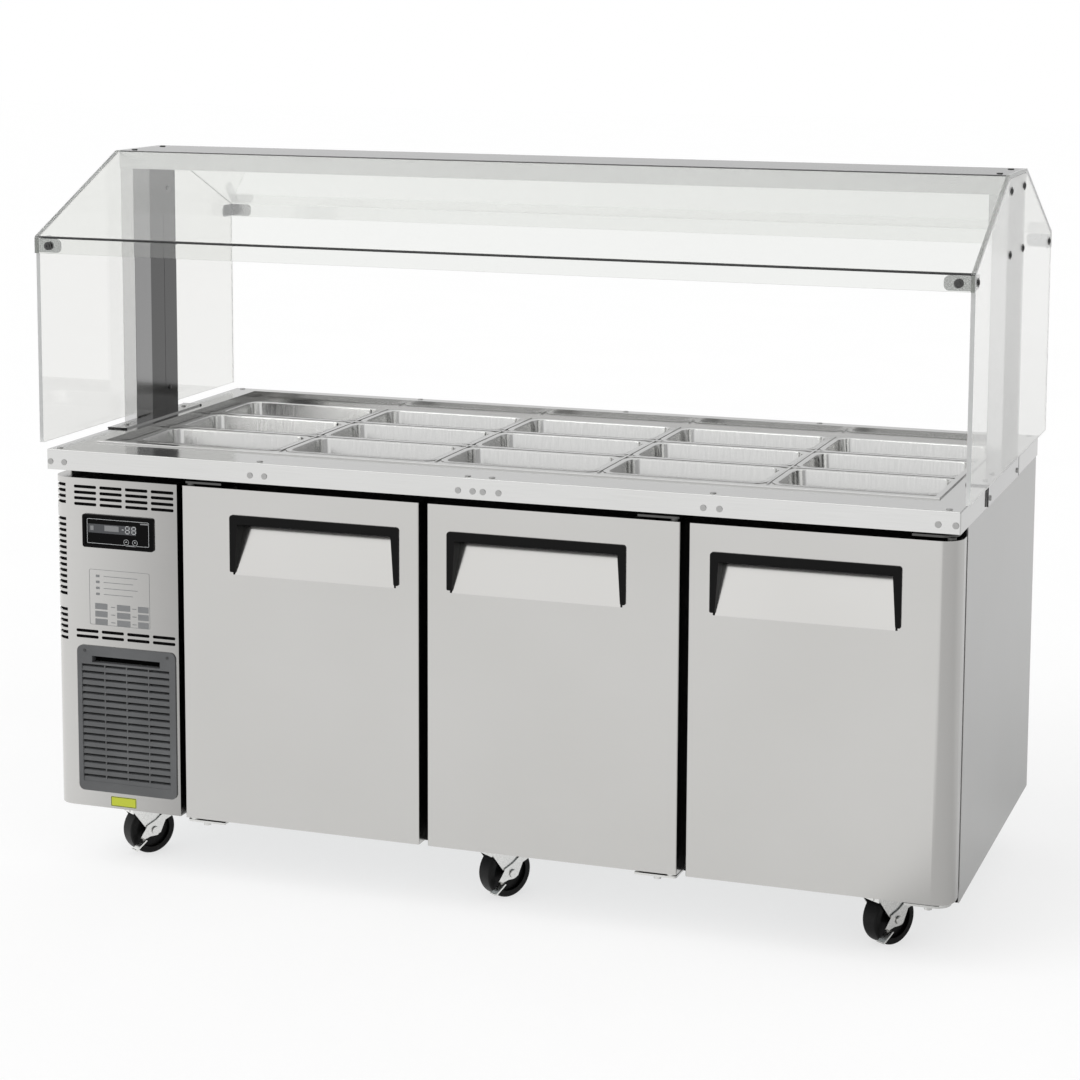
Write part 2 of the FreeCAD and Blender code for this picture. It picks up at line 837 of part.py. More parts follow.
def make_condenser():
    """Finned condenser coil with a fan shroud and motor arm behind the grille."""
    left = -850.0
    right = -640.0
    bottom = floor_top
    top = 430.0
    front = -330.0
    back = -290.0
    fin_count = 20
    core = box(left, right, front + 6, back - 6, bottom, top)
    fins = []
    for step in range(fin_count):
        x = left + 4 + step * (right - left - 10) / (fin_count - 1)
        fins.append(box(x, x + 2, front, back, bottom + 4, top - 4))
    shroud = box(left, right, back - 6, back + 34, bottom, top)
    throat = rod(fan_radius + 6, Vector(fan_x, back - 6, fan_z), Vector(fan_x, back + 34, fan_z))
    shroud = shroud.cut(throat)
    arm_back = back + 60
    arm = box(left, right, back + 52, arm_back, fan_z - 10, fan_z + 10)
    arm_ends = [box(left, left + 4, back + 34, arm_back, fan_z - 10, fan_z + 10),
                box(right - 4, right, back + 34, arm_back, fan_z - 10, fan_z + 10)]
    motor = rod(28.0, Vector(fan_x, arm_back, fan_z), Vector(fan_x, arm_back + 46, fan_z))
    shaft = rod(4.0, Vector(fan_x, back + 8, fan_z), Vector(fan_x, arm_back, fan_z))
    return fuse([core, shroud, arm, motor, shaft] + fins + arm_ends)


def make_fan(centre, axis, radius, depth, shaft_radius):
    """Four-blade fan with a bored hub, turning on a shaft along an axis."""
    hub_radius = radius * 0.24
    start = centre - axis * (depth / 2)
    hub = Part.makeCylinder(hub_radius, depth, start, axis)
    across = UP
    side = axis.cross(across)
    blades = []
    for step in range(4):
        blade_length = radius - hub_radius + 4
        blade_width = radius * 0.62
        blade = Part.makeBox(blade_length, blade_width, 2.0,
                             Vector(hub_radius - 4, -blade_width / 2, -1))
        blade.rotate(Vector(0, 0, 0), RIGHT, 28)
        blade.rotate(Vector(0, 0, 0), UP, 90 * step)
        turn = FreeCAD.Rotation(side, across, axis)
        blade.Placement = FreeCAD.Placement(centre, turn).multiply(blade.Placement)
        blades.append(blade)
    disc = Part.makeCylinder(radius, depth * 3, centre - axis * (depth * 1.5), axis)
    wheel = fuse([hub] + blades).common(disc)
    bore = Part.makeCylinder(shaft_radius + running_clearance, depth * 3,
                             centre - axis * (depth * 1.5), axis)
    return wheel.cut(bore)


def make_compressor():
    """Sealed compressor on four feet, with its terminal box."""
    x = -752.0
    y = 60.0
    radius = 86.0
    bottom = floor_top + 22
    top = bottom + 190
    can = rod(radius, Vector(x, y, bottom), Vector(x, y, top))
    can = can.makeFillet(38, [edge for edge in can.Edges if edge.BoundBox.ZMin > top - 1])
    base = box(x - 100, x + 100, y - 70, y + 70, bottom - 4, bottom + 2)
    terminal = box(x + 60, x + 105, y - 30, y + 30, bottom + 60, bottom + 120)
    feet = []
    for foot_x in (x - 84, x + 84):
        for foot_y in (y - 54, y + 54):
            feet.append(rod(12.0, Vector(foot_x, foot_y, floor_top),
                            Vector(foot_x, foot_y, bottom - 4)))
    return fuse([can, base, terminal] + feet)


evaporator_x = -520.0
evaporator_y = 120.0
evaporator_z = 540.0
evaporator_fan_radius = 70.0
evaporator_back = 26.0
evaporator_fan_inset = 16.0


def make_evaporator():
    """Cooling coil housing on the compartment's left wall, with the fan's opening and motor."""
    bottom = 430.0
    top = 650.0
    front = -40.0
    back = 280.0
    housing = box(compartment_left, evaporator_x, front, back, bottom, top)
    motor_end = compartment_left + evaporator_back
    cavity = box(motor_end, evaporator_x - thin_sheet, front + 6, back - 6,
                 bottom + 6, top - 6)
    mouth = rod(evaporator_fan_radius + 5, Vector(evaporator_x - 10, evaporator_y, evaporator_z),
                Vector(evaporator_x + 1, evaporator_y, evaporator_z))
    shaft = rod(3.0, Vector(motor_end - 1, evaporator_y, evaporator_z),
                Vector(evaporator_x - 2, evaporator_y, evaporator_z))
    return fuse([cut(housing, [cavity, mouth]), shaft])


def make_cable_gland():
    """Bushing in the back sheet, bored for the supply cable."""
    inner_end = inner_back - 6
    outer_end = case_back + 6.5
    barrel = rod(gland_radius, Vector(gland_x, inner_end, gland_z), Vector(gland_x, outer_end, gland_z))
    collar = rod(gland_radius + 4, Vector(gland_x, case_back, gland_z),
                 Vector(gland_x, case_back + 3, gland_z))
    nut = rod(gland_radius + 4, Vector(gland_x, inner_end, gland_z),
              Vector(gland_x, inner_back, gland_z))
    bore = rod(gland_bore, Vector(gland_x, inner_end - 1, gland_z),
               Vector(gland_x, outer_end + 1, gland_z))
    return cut(fuse([barrel, collar, nut]), [bore])


# ---------------------------------------------------------------- guard

def guard_outline():
    """Outer profile of the guard, from the front lip over the top to the back lip."""
    half = guard_depth / 2
    return [(-half, lip_bottom), (-half, slope_bottom), (-top_half_depth, guard_height),
            (top_half_depth, guard_height), (half, slope_bottom), (half, lip_bottom)]


def make_canopy():
    """One clear sheet bent over the top, with both slopes and lips."""
    outer = guard_outline()
    inner = offset_outline(outer, acrylic)
    solid = prism_x(outer + inner[::-1], -guard_width / 2, guard_width / 2)
    bends = []
    for y, z in outer[1:-1]:
        for edge in solid.Edges:
            box_of_edge = edge.BoundBox
            if abs(box_of_edge.YMin - y) < 0.01 and abs(box_of_edge.ZMin - z) < 0.01:
                if is_along(edge, RIGHT):
                    bends.append(edge)
    outer_bend_radius = 7.0
    return solid.makeFillet(outer_bend_radius, bends)


def make_end_panel(side):
    """Flat clear end of the guard, under the canopy and down to just above the worktop."""
    inner = offset_outline(guard_outline(), acrylic)
    half = guard_depth / 2 - acrylic
    outline = [(-half, end_panel_bottom)] + inner[1:-1] + [(half, end_panel_bottom)]
    limits = sorted((side * post_outer, side * guard_width / 2))
    return prism_x(outline, limits[0], limits[1])


def make_post(side):
    """Rectangular stainless post with a fine seam on its inner face."""
    bottom = counter_height + foot_thickness
    top = guard_height - acrylic - sheet
    inner = post_outer - post_thickness
    limits = sorted((side * inner, side * (post_outer - touch_gap)))
    tube = box(limits[0], limits[1], -post_half_depth, post_half_depth, bottom, top)
    edge_radius = 1.5
    tube = tube.makeFillet(edge_radius, upright_edges(tube))
    hollow = box(limits[0] + sheet, limits[1] - sheet, -post_half_depth + sheet,
                 post_half_depth - sheet, bottom, top)
    seam_y = 36.0
    seam_limits = sorted((side * (inner - 1), side * (inner + 0.8)))
    seam = box(seam_limits[0], seam_limits[1], seam_y, seam_y + 1.6, bottom, top)
    return cut(tube, [hollow, seam])


def make_post_feet():
    """Angle plates under the posts, lapped down over the ends of the apron."""
    half_length = 168.0
    inner = 862.0
    feet = []
    for side in (-1, 1):
        level = sorted((side * inner, side * (half_width + foot_thickness)))
        plate = box(level[0], level[1], -half_length, half_length, counter_height,
                    counter_height + foot_thickness)
        upright = sorted((side * half_width, side * (half_width + foot_thickness)))
        skirt = box(upright[0], upright[1], -half_length, half_length, apron_bottom + 2,
                    counter_height + foot_thickness)
        feet.append(fuse([plate, skirt]))
    return group(feet)


def make_top_channel():
    """Stainless channel that joins the posts under the clear top."""
    top = guard_height - acrylic
    outer = box(-post_outer, post_outer, -channel_half_depth, channel_half_depth,
                top - channel_height, top)
    inside = box(-post_outer, post_outer, -channel_half_depth + sheet, channel_half_depth - sheet,
                 top - channel_height, top - sheet)
    return outer.cut(inside)


clip_length = 47.0
clip_height = 26.0
clip_sheet = 2.0
clip_screw_x = 886.0
clip_screw_y = 400.0
clip_z = 1249.5


def make_corner_clips():
    """Angle clips inside the four corners of the guard."""
    outer_y = guard_depth / 2 - acrylic
    bottom = clip_z - clip_height / 2
    clips = []
    for side in (-1, 1):
        for end in (-1, 1):
            along_x = sorted((side * (post_outer - clip_length), side * post_outer))
            thick_y = sorted((end * outer_y, end * (outer_y - clip_sheet)))
            leg = box(along_x[0], along_x[1], thick_y[0], thick_y[1], bottom, bottom + clip_height)
            thick_x = sorted((side * post_outer, side * (post_outer - clip_sheet)))
            along_y = sorted((end * outer_y, end * (outer_y - clip_length)))
            other = box(thick_x[0], thick_x[1], along_y[0], along_y[1], bottom, bottom + clip_height)
            clips.append(fuse([leg, other]))
    return group(clips)


# ---------------------------------------------------------------- fasteners

def button_head(place, outward, radius, height):
    """Low round head on a surface, pointing outward."""
    head = Part.makeCylinder(radius, height, place, outward)
    far = place + outward * height
    rims = [edge for edge in head.Edges if (edge.CenterOfMass - far).Length < 0.01]
    return head.makeFillet(height * 0.6, rims)


def socket_screw(place, outward, radius, height):
    """Round head with a driver socket, on a thin washer."""
    washer_radius = radius * 1.6
    washer_height = 0.8
    socket_radius = radius * 0.45
    socket_depth = 1.5
    washer = Part.makeCylinder(washer_radius, washer_height, place, outward)
    socket = Part.makeCylinder(socket_radius, socket_depth + 1, place + outward * (height - socket_depth),
                               outward)
    return fuse([washer, button_head(place, outward, radius, height)]).cut(socket)


def make_fasteners():
    """Plugs on the worktop, and the screws of the guard, posts and feet."""
    heads = []
    plug_radius = 6.0
    plug_height = 1.2
    plug_z = counter_height - 24.5
    plug_pairs = ((-892, -862), (-462, -432), (-37, -8), (12, 43), (435, 465), (860, 891))
    for pair in plug_pairs:
        for x in pair:
            heads.append(button_head(Vector(x, -half_depth, plug_z), -BACK, plug_radius, plug_height))
    front_row = (-880.0, -449.0, -24.0, 24.0, 448.0, 876.0)
    back_row = (-880.0, -449.0, 24.0, 448.0, 876.0)
    for x in front_row:
        heads.append(button_head(Vector(x, -half_depth + 18, counter_height), UP,
                                 plug_radius, plug_height))
    for x in back_row:
        heads.append(button_head(Vector(x, half_depth - 12, counter_height), UP,
                                 plug_radius, plug_height))
    screw_radius = 5.0
    screw_height = 2.5
    for side in (-1, 1):
        outward = RIGHT * side
        for y in (-72.0, 72.0):
            for z in (1266.0, 1384.0):
                heads.append(socket_screw(Vector(side * guard_width / 2, y, z), outward,
                                          screw_radius, screw_height))
        for z in (905.0, 1325.0):
            heads.append(button_head(Vector(side * (post_outer - post_thickness), 56.0, z), -outward,
                                     screw_radius, screw_height))
        for y in (-128.0, 128.0):
            heads.append(button_head(Vector(side * 883.0, y, counter_height + foot_thickness), UP,
                                     screw_radius, screw_height))
        for y in (-150.0, 150.0):
            heads.append(button_head(Vector(side * (half_width + foot_thickness), y, plug_z), outward,
                                     screw_radius, screw_height))
        for end in (-1, 1):
            heads.append(socket_screw(Vector(side * clip_screw_x, end * guard_depth / 2, clip_z),
                                      BACK * end, screw_radius, screw_height))
            heads.append(socket_screw(Vector(side * guard_width / 2, end * clip_screw_y, clip_z),
                                      outward, screw_radius, screw_height))
            heads.append(button_head(Vector(side * 890.0, end * 62.0, guard_height), UP,
                                     screw_radius + 1, 1.5))
    for x in (grille_left + 17, grille_right - 17):
        heads.append(button_head(Vector(x, door_face - 3, grille_top - 10), -BACK, 3.0, 1.2))
    return group(heads)


# ---------------------------------------------------------------- casters

plate_thickness = 4.0
plate_top = case_bottom
race_bottom = plate_top - plate_thickness - 4.7
crown_top = race_bottom - touch_gap
crown_bottom = crown_top - 4.0
axle_z = wheel_radius
leg_inner = 21.5
leg_outer = 24.5


def turned(shape, x, y):
    """Shape drawn about a swivel axis at the origin, turned and moved to its place."""
    shape.rotate(Vector(0, 0, 0), UP, caster_turn)
    shape.translate(Vector(x, y, 0))
    return shape


def make_caster_plate(x, y):
    """Top plate with the swivel race and the kingpin."""
    plate = rounded_box(-48, 48, -34, 34, plate_top - plate_thickness, plate_top, 6)
    race = rod(24.0, Vector(0, 0, race_bottom), Vector(0, 0, plate_top - plate_thickness))
    pin_bottom = crown_bottom - 2.2
    pin = rod(kingpin_radius, Vector(0, 0, pin_bottom), Vector(0, 0, race_bottom))
    head = rod(kingpin_radius + 3, Vector(0, 0, pin_bottom), Vector(0, 0, crown_bottom - 0.2))
    caster_plate = fuse([plate, race, pin, head])
    caster_plate.translate(Vector(x, y, 0))
    return caster_plate


def make_fork(x, y):
    """Swivel fork with its axle bolt, and a ribbed web on its leading side."""
    crown = box(-27, 33, -leg_outer, leg_outer, crown_bottom, crown_top)
    web_bottom = crown_bottom - 12
    web = box(-27, -24.5, -leg_outer, leg_outer, web_bottom, crown_top)
    ribs = [box(-29, -27, rib_y - 2.5, rib_y + 2.5, web_bottom + 1, crown_top - 1)
            for rib_y in (-9, 9)]
    outline = [(-27, crown_top), (33, crown_top), (33, crown_top - 8), (caster_trail + 12, axle_z - 4),
               (caster_trail + 7, axle_z - 12), (caster_trail - 7, axle_z - 12),
               (caster_trail - 13, axle_z - 2), (-27, crown_top - 10)]
    legs = [prism_y(outline, leg_inner, leg_outer), prism_y(outline, -leg_outer, -leg_inner)]
    axle_half = 29.5
    axle = rod(axle_radius, Vector(caster_trail, -axle_half, axle_z),
               Vector(caster_trail, axle_half, axle_z))
    head = rod(8.0, Vector(caster_trail, -axle_half - 3, axle_z),
               Vector(caster_trail, -axle_half, axle_z))
    nut = rod(8.0, Vector(caster_trail, leg_outer, axle_z),
              Vector(caster_trail, axle_half + 1, axle_z))
    bore = rod(kingpin_radius + running_clearance, Vector(0, 0, crown_bottom - 1),
               Vector(0, 0, crown_top + 1))
    return turned(cut(fuse([crown, web, axle, head, nut] + ribs + legs), [bore]), x, y)


def make_wheel(x, y):
    """Solid wheel with dished faces and a long hub."""
    half = wheel_width / 2
    hub_half = leg_inner - touch_gap
    start = Vector(caster_trail, -half, axle_z)
    tyre = rod(wheel_radius, start, Vector(caster_trail, half, axle_z))
    tyre = tyre.makeFillet(5, [edge for edge in tyre.Edges if edge.Curve.TypeId == "Part::GeomCircle"])
    dish_radius = wheel_radius - 13
    dish_depth = 7.0
    dishes = [rod(dish_radius, start, Vector(caster_trail, -half + dish_depth, axle_z)),
              rod(dish_radius, Vector(caster_trail, half - dish_depth, axle_z),
                  Vector(caster_trail, half, axle_z))]
    hub = rod(14.0, Vector(caster_trail, -hub_half, axle_z), Vector(caster_trail, hub_half, axle_z))
    bore = rod(axle_radius + running_clearance, Vector(caster_trail, -hub_half - 1, axle_z),
               Vector(caster_trail, hub_half + 1, axle_z))
    return turned(cut(fuse([cut(tyre, dishes), hub]), [bore]), x, y)


def make_brake_pedal(x, y):
    """Side brake lever on the axle bolt, with a stepped foot."""
    inner = -leg_outer - 1.0
    outer = inner - 2.5
    foot_width = 14.0
    outline = [(caster_trail + along, axle_z + up) for along, up in
               ((40, 33), (45, 27), (23, 18), (18, 7), (12, -6), (2, -11), (-11, -11), (-26, -15),
                (-34, -11), (-18, 12), (2, 21), (14, 30))]
    lever = prism_y(outline, outer, inner)
    foot_outline = [(caster_trail + along, axle_z + up) for along, up in
                    ((-28, -12), (-26, -14), (-49, -32), (-54, -30), (-54, -27), (-50, -28.5))]
    foot = prism_y(foot_outline, outer - foot_width, inner)
    bore = rod(axle_radius + running_clearance, Vector(caster_trail, outer - 1, axle_z),
               Vector(caster_trail, inner + 1, axle_z))
    return turned(cut(fuse([lever, foot]), [bore]), x, y)


# ---------------------------------------------------------------- all sub-parts

save("worktop", make_worktop())
save("well_frame", make_well_frame())
save("pan_bars", make_pan_bars())
save("well_tub", make_well_tub())
for row_index, row_name in enumerate(("front", "middle", "back")):
    save("pans_" + row_name + "_row", make_pan_row(row_index))

save("insulation", make_insulation())
save("compartment_liner", make_compartment_liner())
save("cabinet_case", make_case())
save("side_panels", group([make_side_panel(-1), make_side_panel(1)]))
save("face_frame", make_face_frame())
save("shelves", make_shelves())

for door_index, door_name in enumerate(("left", "middle", "right")):
    save("door_skin_" + door_name, make_door_skin(door_index))
    save("door_core_" + door_name, make_door_core(door_index))
    save("door_handle_" + door_name, make_handle(door_index))
    save("door_gasket_" + door_name, make_gasket(door_index))
save("hinge_brackets", make_hinge_brackets())

save("machine_panel", make_machine_panel())
save("air_grille", make_air_grille())
save("control_panel", make_control_panel())
save("control_button_left", make_button(button_centres[0]))
save("control_button_right", make_button(button_centres[1]))
save("condenser", make_condenser())
save("condenser_fan", make_fan(Vector(fan_x, -270.0, fan_z), BACK, fan_radius, 16.0, 4.0))
save("compressor", make_compressor())
save("evaporator", make_evaporator())
evaporator_fan_centre = Vector(evaporator_x - evaporator_fan_inset, evaporator_y, evaporator_z)
save("evaporator_fan", make_fan(evaporator_fan_centre, RIGHT, evaporator_fan_radius, 12.0, 3.0))
save("cable_gland", make_cable_gland())

save("guard_canopy", make_canopy())
save("end_panels", group([make_end_panel(-1), make_end_panel(1)]))
save("posts", group([make_post(-1), make_post(1)]))
save("post_feet", make_post_feet())
save("top_channel", make_top_channel())
save("corner_clips", make_corner_clips())
save("fasteners", make_fasteners())

caster_plates = []
for row_name, caster_y in (("front", caster_front_y), ("rear", caster_rear_y)):
    for column_name, place_x in zip(("left", "middle", "right"), caster_x):
        caster_name = row_name + "_" + column_name
        caster_plates.append(make_caster_plate(place_x, caster_y))
        save("caster_fork_" + caster_name, make_fork(place_x, caster_y))
        save("caster_wheel_" + caster_name, make_wheel(place_x, caster_y))
        if row_name == "front":
            save("brake_pedal_" + caster_name, make_brake_pedal(place_x, caster_y))
save("caster_plates", group(caster_plates))
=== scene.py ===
"""Looks of the mobile salad bar: finishes, pans, small trim, and a white studio."""

import math

import bmesh
import bpy
from bpy.props import FloatProperty, FloatVectorProperty, PointerProperty
from bpy.types import Operator, Panel, PropertyGroup
from mathutils import Matrix, Vector


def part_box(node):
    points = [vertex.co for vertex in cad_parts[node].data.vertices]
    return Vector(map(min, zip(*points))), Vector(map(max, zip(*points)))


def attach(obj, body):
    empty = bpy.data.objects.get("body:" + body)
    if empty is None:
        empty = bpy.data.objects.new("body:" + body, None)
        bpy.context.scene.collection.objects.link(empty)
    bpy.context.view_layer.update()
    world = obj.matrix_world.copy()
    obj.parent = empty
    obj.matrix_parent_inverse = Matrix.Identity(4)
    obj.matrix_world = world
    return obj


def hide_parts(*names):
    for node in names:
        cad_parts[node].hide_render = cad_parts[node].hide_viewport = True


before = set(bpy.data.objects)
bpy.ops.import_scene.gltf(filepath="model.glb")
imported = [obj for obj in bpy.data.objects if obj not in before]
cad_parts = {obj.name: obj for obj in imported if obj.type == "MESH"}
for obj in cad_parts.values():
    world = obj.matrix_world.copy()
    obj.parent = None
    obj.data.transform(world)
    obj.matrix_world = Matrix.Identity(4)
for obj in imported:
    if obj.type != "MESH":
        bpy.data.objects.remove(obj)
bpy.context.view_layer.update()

bl_info = {
    "name": "Mobile salad bar",
    "version": (1, 0, 0),
    "blender": (4, 5, 0),
    "location": "View3D > Sidebar > Salad bar",
    "description": "Finishes, pans and small trim of a refrigerated salad bar on casters",
    "category": "Object",
}

MM = 0.001
COLUMNS = ("left", "middle", "right")
CASTERS = [row + "_" + column for row in ("front", "rear") for column in COLUMNS]
PAN_ROWS = ("front", "middle", "back")
PAN_COLUMNS = 5

# Brightness of the room that metal reflects, by compass angle in degrees: 0 is the front of the
# counter, 90 its right. A bright left and front, a dark front right, and a mixed back.
ROOM_LEVELS = ((-180, 0.7), (-150, 0.78), (-100, 1.0), (8, 1.0), (15, 0.5), (80, 0.4),
               (108, 0.54), (140, 0.54), (147, 0.4), (159, 0.42), (165, 0.52), (180, 0.7))


def linear(hex_code):
    """Linear red, green and blue of an sRGB hex colour."""
    parts = [int(hex_code[start:start + 2], 16) / 255 for start in (1, 3, 5)]
    return tuple(c / 12.92 if c <= 0.04045 else ((c + 0.055) / 1.055) ** 2.4 for c in parts)


def colour_setting(name, hex_code, description):
    """Colour property whose default is an sRGB hex colour."""
    return FloatVectorProperty(name=name, description=description, subtype="COLOR", size=3,
                               min=0, max=1, default=linear(hex_code))


def length_setting(name, millimetres, description):
    """Length property, given in millimetres and kept in metres."""
    return FloatProperty(name=name, description=description, unit="LENGTH", precision=4,
                         min=0, default=millimetres * MM)


class SaladBarSizes(PropertyGroup):
    """Sizes of the pieces that are added to the frame."""
    pan_length: length_setting("Pan length", 325, "Outer length of a pan's rim")
    pan_flange: length_setting("Pan flange", 11, "Width of the flat rim of a pan")
    pan_wall: length_setting("Pan wall", 1.2, "Thickness of the pressed sheet")
    pan_taper: length_setting("Pan taper", 7, "How far each wall leans in from rim to floor")
    pan_corner: length_setting("Pan corner", 24, "Radius of a pan's upright corners")
    pan_floor_bend: length_setting("Pan floor bend", 14, "Radius between a pan's walls and floor")
    film: length_setting("Film", 0.3, "Thickness of labels and printed marks")
    sealant: length_setting("Sealant bead", 1.8, "Width of the black bead along a foot plate")


class SaladBarColours(PropertyGroup):
    """Colours of the finishes."""
    worktop: colour_setting("Worktop", "#CFCFCE", "Brushed top and apron")
    panel: colour_setting("Panels", "#C6C5C3", "Doors and machine front")
    side: colour_setting("Side panels", "#C6C6C5", "Outer side sheets and the liner of the compartment")
    post: colour_setting("Posts", "#C5C5C5", "Posts and feet")
    pan: colour_setting("Pans", "#D2D2D1", "Pressed pans")
    zinc: colour_setting("Zinc", "#E6E6E4", "Casters and brake pedals")
    channel: colour_setting("Channel", "#D6D6D6", "Top channel between the posts")
    hinge: colour_setting("Hinge plates", "#D2D2D0", "Lower hinge plates")
    # The dark grey of the upper hinge plates is painted shade, for plates that sit under the apron.
    hinge_painted_shade: colour_setting("Dark hinge plates", "#5A5A59", "Upper hinge plates")
    clip: colour_setting("Clips", "#B2B3B3", "Corner clips of the guard")
    plug: colour_setting("Plugs", "#A6A6A5", "Plugs of the apron and worktop")
    screw: colour_setting("Screws", "#4E4E4E", "Screws of the guard and the grille")
    galvanised: colour_setting("Galvanised", "#B7BCBE", "Back, floor and well tub")
    aluminium: colour_setting("Aluminium", "#C9CACB", "Fins of the coils")
    grille: colour_setting("Grille", "#5E5F60", "Louvred air grille")
    trim: colour_setting("Black trim", "#0D0D0D", "Pulls, face frame, fans, cable gland, compressor, sealant")
    bezel: colour_setting("Bezel", "#060606", "Control panel and its keys")
    seal: colour_setting("Seal", "#2B2B2C", "Door seals")
    liner: colour_setting("Door liner", "#E3E3DF", "Moulded inner face of the doors")
    coating: colour_setting("Shelf coating", "#C9CBCB", "Epoxy coat of the wire shelves")
    foam: colour_setting("Foam", "#D8C98F", "Insulation")
    wheel: colour_setting("Wheels", "#080808", "Solid wheels")
    canopy: colour_setting("Canopy", "#EFF0EE", "Clear bent sheet of the guard")
    ends: colour_setting("End panels", "#F4F4F2", "Clear ends of the guard")
    acrylic_edge: colour_setting("Acrylic edge", "#F3F4F3", "Sawn edges of the clear sheets")
    # Behind the grille this black stands in for the shade between the slats: painted shade.
    screen: colour_setting("Slot screen", "#0C0C0C", "Filter cloth behind the air slots and the grille")
    print_grey: colour_setting("Printed grey", "#7E7F80", "Marks on the label and foil on the display")
    print_light: colour_setting("Light print", "#B9BBBC", "Digits, rings and outlines")
    sticker: colour_setting("Sticker", "#BEC633", "Plain yellow-green sticker")


# ---------------------------------------------------------------- nodes and materials

def add(tree, kind, inputs=None, **settings):
    """One node with its settings, and its inputs filled or linked."""
    node = tree.nodes.new(kind)
    for name, value in settings.items():
        setattr(node, name, value)
    for name, value in (inputs or {}).items():
        if isinstance(value, bpy.types.NodeSocket):
            tree.links.new(value, node.inputs[name])
        else:
            node.inputs[name].default_value = value
    return node


def blank(name):
    """Material with an empty node tree."""
    material = bpy.data.materials.new(name)
    material.use_nodes = True
    material.node_tree.nodes.clear()
    return material, material.node_tree


def surface(tree, inputs):
    """Principled shader on the material's output."""
    shader = add(tree, "ShaderNodeBsdfPrincipled", inputs)
    add(tree, "ShaderNodeOutputMaterial", {"Surface": shader.outputs["BSDF"]})


def grains(tree, size, detail=2.0):
    """Noise whose grains have the given size along X, Y and Z, in millimetres."""
    place = add(tree, "ShaderNodeTexCoord")
    per_metre = add(tree, "ShaderNodeMapping", {"Vector": place.outputs["Object"],
                                                "Scale": [1 / (side * MM) for side in size]})
    noise = add(tree, "ShaderNodeTexNoise",
                {"Vector": per_metre.outputs["Vector"], "Scale": 1.0, "Detail": detail})
    return noise.outputs["Fac"]


def calculate(tree, operation, *values):
    """Result of one mathematical operation on sockets or numbers."""
    node = add(tree, "ShaderNodeMath", dict(enumerate(values)), operation=operation)
    return node.outputs["Value"]


def remap(tree, value, from_low, from_high, to_low, to_high):
    """Value carried from one range to another, and held at the ends."""
    node = add(tree, "ShaderNodeMapRange", {"Value": value, "From Min": from_low, "From Max": from_high,
                                            "To Min": to_low, "To Max": to_high})
    return node.outputs["Result"]


def blend(tree, share, first, second):
    """Number between two others."""
    return add(tree, "ShaderNodeMix", {"Factor": share, "A": first, "B": second}).outputs["Result"]


def parts_of(tree, output):
    """X, Y and Z of one of the texture coordinates."""
    place = add(tree, "ShaderNodeTexCoord")
    return add(tree, "ShaderNodeSeparateXYZ", {"Vector": place.outputs[output]}).outputs


def scaled(tree, colour, share):
    """Colour made lighter or darker by a socket."""
    node = add(tree, "ShaderNodeVectorMath", {0: colour, "Scale": share}, operation="SCALE")
    return node.outputs["Vector"]


def spread(tree, value, low, high):
    """Middle part of a noise, spread over a range."""
    middle_part = (0.3, 0.7)
    return remap(tree, value, *middle_part, low, high)


def tone(colour, factor):
    """Colour made lighter or darker, with alpha."""
    return tuple(min(channel * factor, 1.0) for channel in colour) + (1.0,)


def mottled(tree, value, colour, dark, light):
    """Colour that a noise moves between a darker and a lighter tone."""
    node = add(tree, "ShaderNodeMix", {"Factor": spread(tree, value, 0, 1)}, data_type="RGBA")
    node.inputs["A"].default_value = tone(colour, dark)
    node.inputs["B"].default_value = tone(colour, light)
    return node.outputs["Result"]


def relief(tree, height, strength, distance):
    """Bump from a noise, its distance in millimetres."""
    node = add(tree, "ShaderNodeBump", {"Strength": strength, "Distance": distance * MM,
                                        "Height": height})
    return node.outputs["Normal"]


def shaded_across(tree, colour, light_x, dark_x, dark):
    """Painted shade: colour that darkens along X, for a slightly dished sheet that turns away from the light
    and mirrors a darker part of the room.
    """
    return scaled(tree, colour, remap(tree, parts_of(tree, "Object")["X"], light_x, dark_x, 1.0, dark))


def lit_scoops(tree, colour):
    """Painted light and shade: colour that is lighter where a door's face slopes up under its pull, and a
    little darker on the flat face.
    """
    flat_face, sloped_face = 0.02, 0.04
    dark, light = 0.94, 1.12
    rise = parts_of(tree, "Normal")["Z"]
    return scaled(tree, colour, remap(tree, rise, flat_face, sloped_face, dark, light))


def brushed_steel(name, colour, grain, roughness, contrast, painted_shade_along_x=None, painted_scoop_light=False):
    """Belt-ground stainless sheet: fine scratches that lie one way, and a slightly cloudy sheen; where asked,
    painted shade along X and painted light under the door pulls.
    """
    material, tree = blank(name)
    # The belt leaves lines 0.1 to 0.3 mm wide. They are drawn about five times wider, so that they show.
    scratches = grains(tree, grain, 3.0)
    clouds = grains(tree, (350, 350, 350))
    scratched = mottled(tree, scratches, colour, 1 - contrast, 1 + contrast)
    cloud_tint = (0.965, 0.965, 0.96, 1)
    cloudy = add(tree, "ShaderNodeMix", {"Factor": spread(tree, clouds, 0, 1)},
                 data_type="RGBA", blend_type="MULTIPLY")
    tree.links.new(scratched, cloudy.inputs["A"])
    cloudy.inputs["B"].default_value = cloud_tint
    shown = cloudy.outputs["Result"]
    # Painted shade across the sheet, where one is asked for
    if painted_shade_along_x:
        shown = shaded_across(tree, shown, *painted_shade_along_x)
    # Painted light on the slope under each pull, painted shade on the flat face
    if painted_scoop_light:
        shown = lit_scoops(tree, shown)
    surface(tree, {"Base Color": shown, "Metallic": 1.0,
                   "Roughness": spread(tree, scratches, roughness * (1 - 2 * contrast),
                                       roughness * (1 + 4 * contrast)),
                   "Normal": relief(tree, scratches, 2 * contrast, 0.05)})
    return material


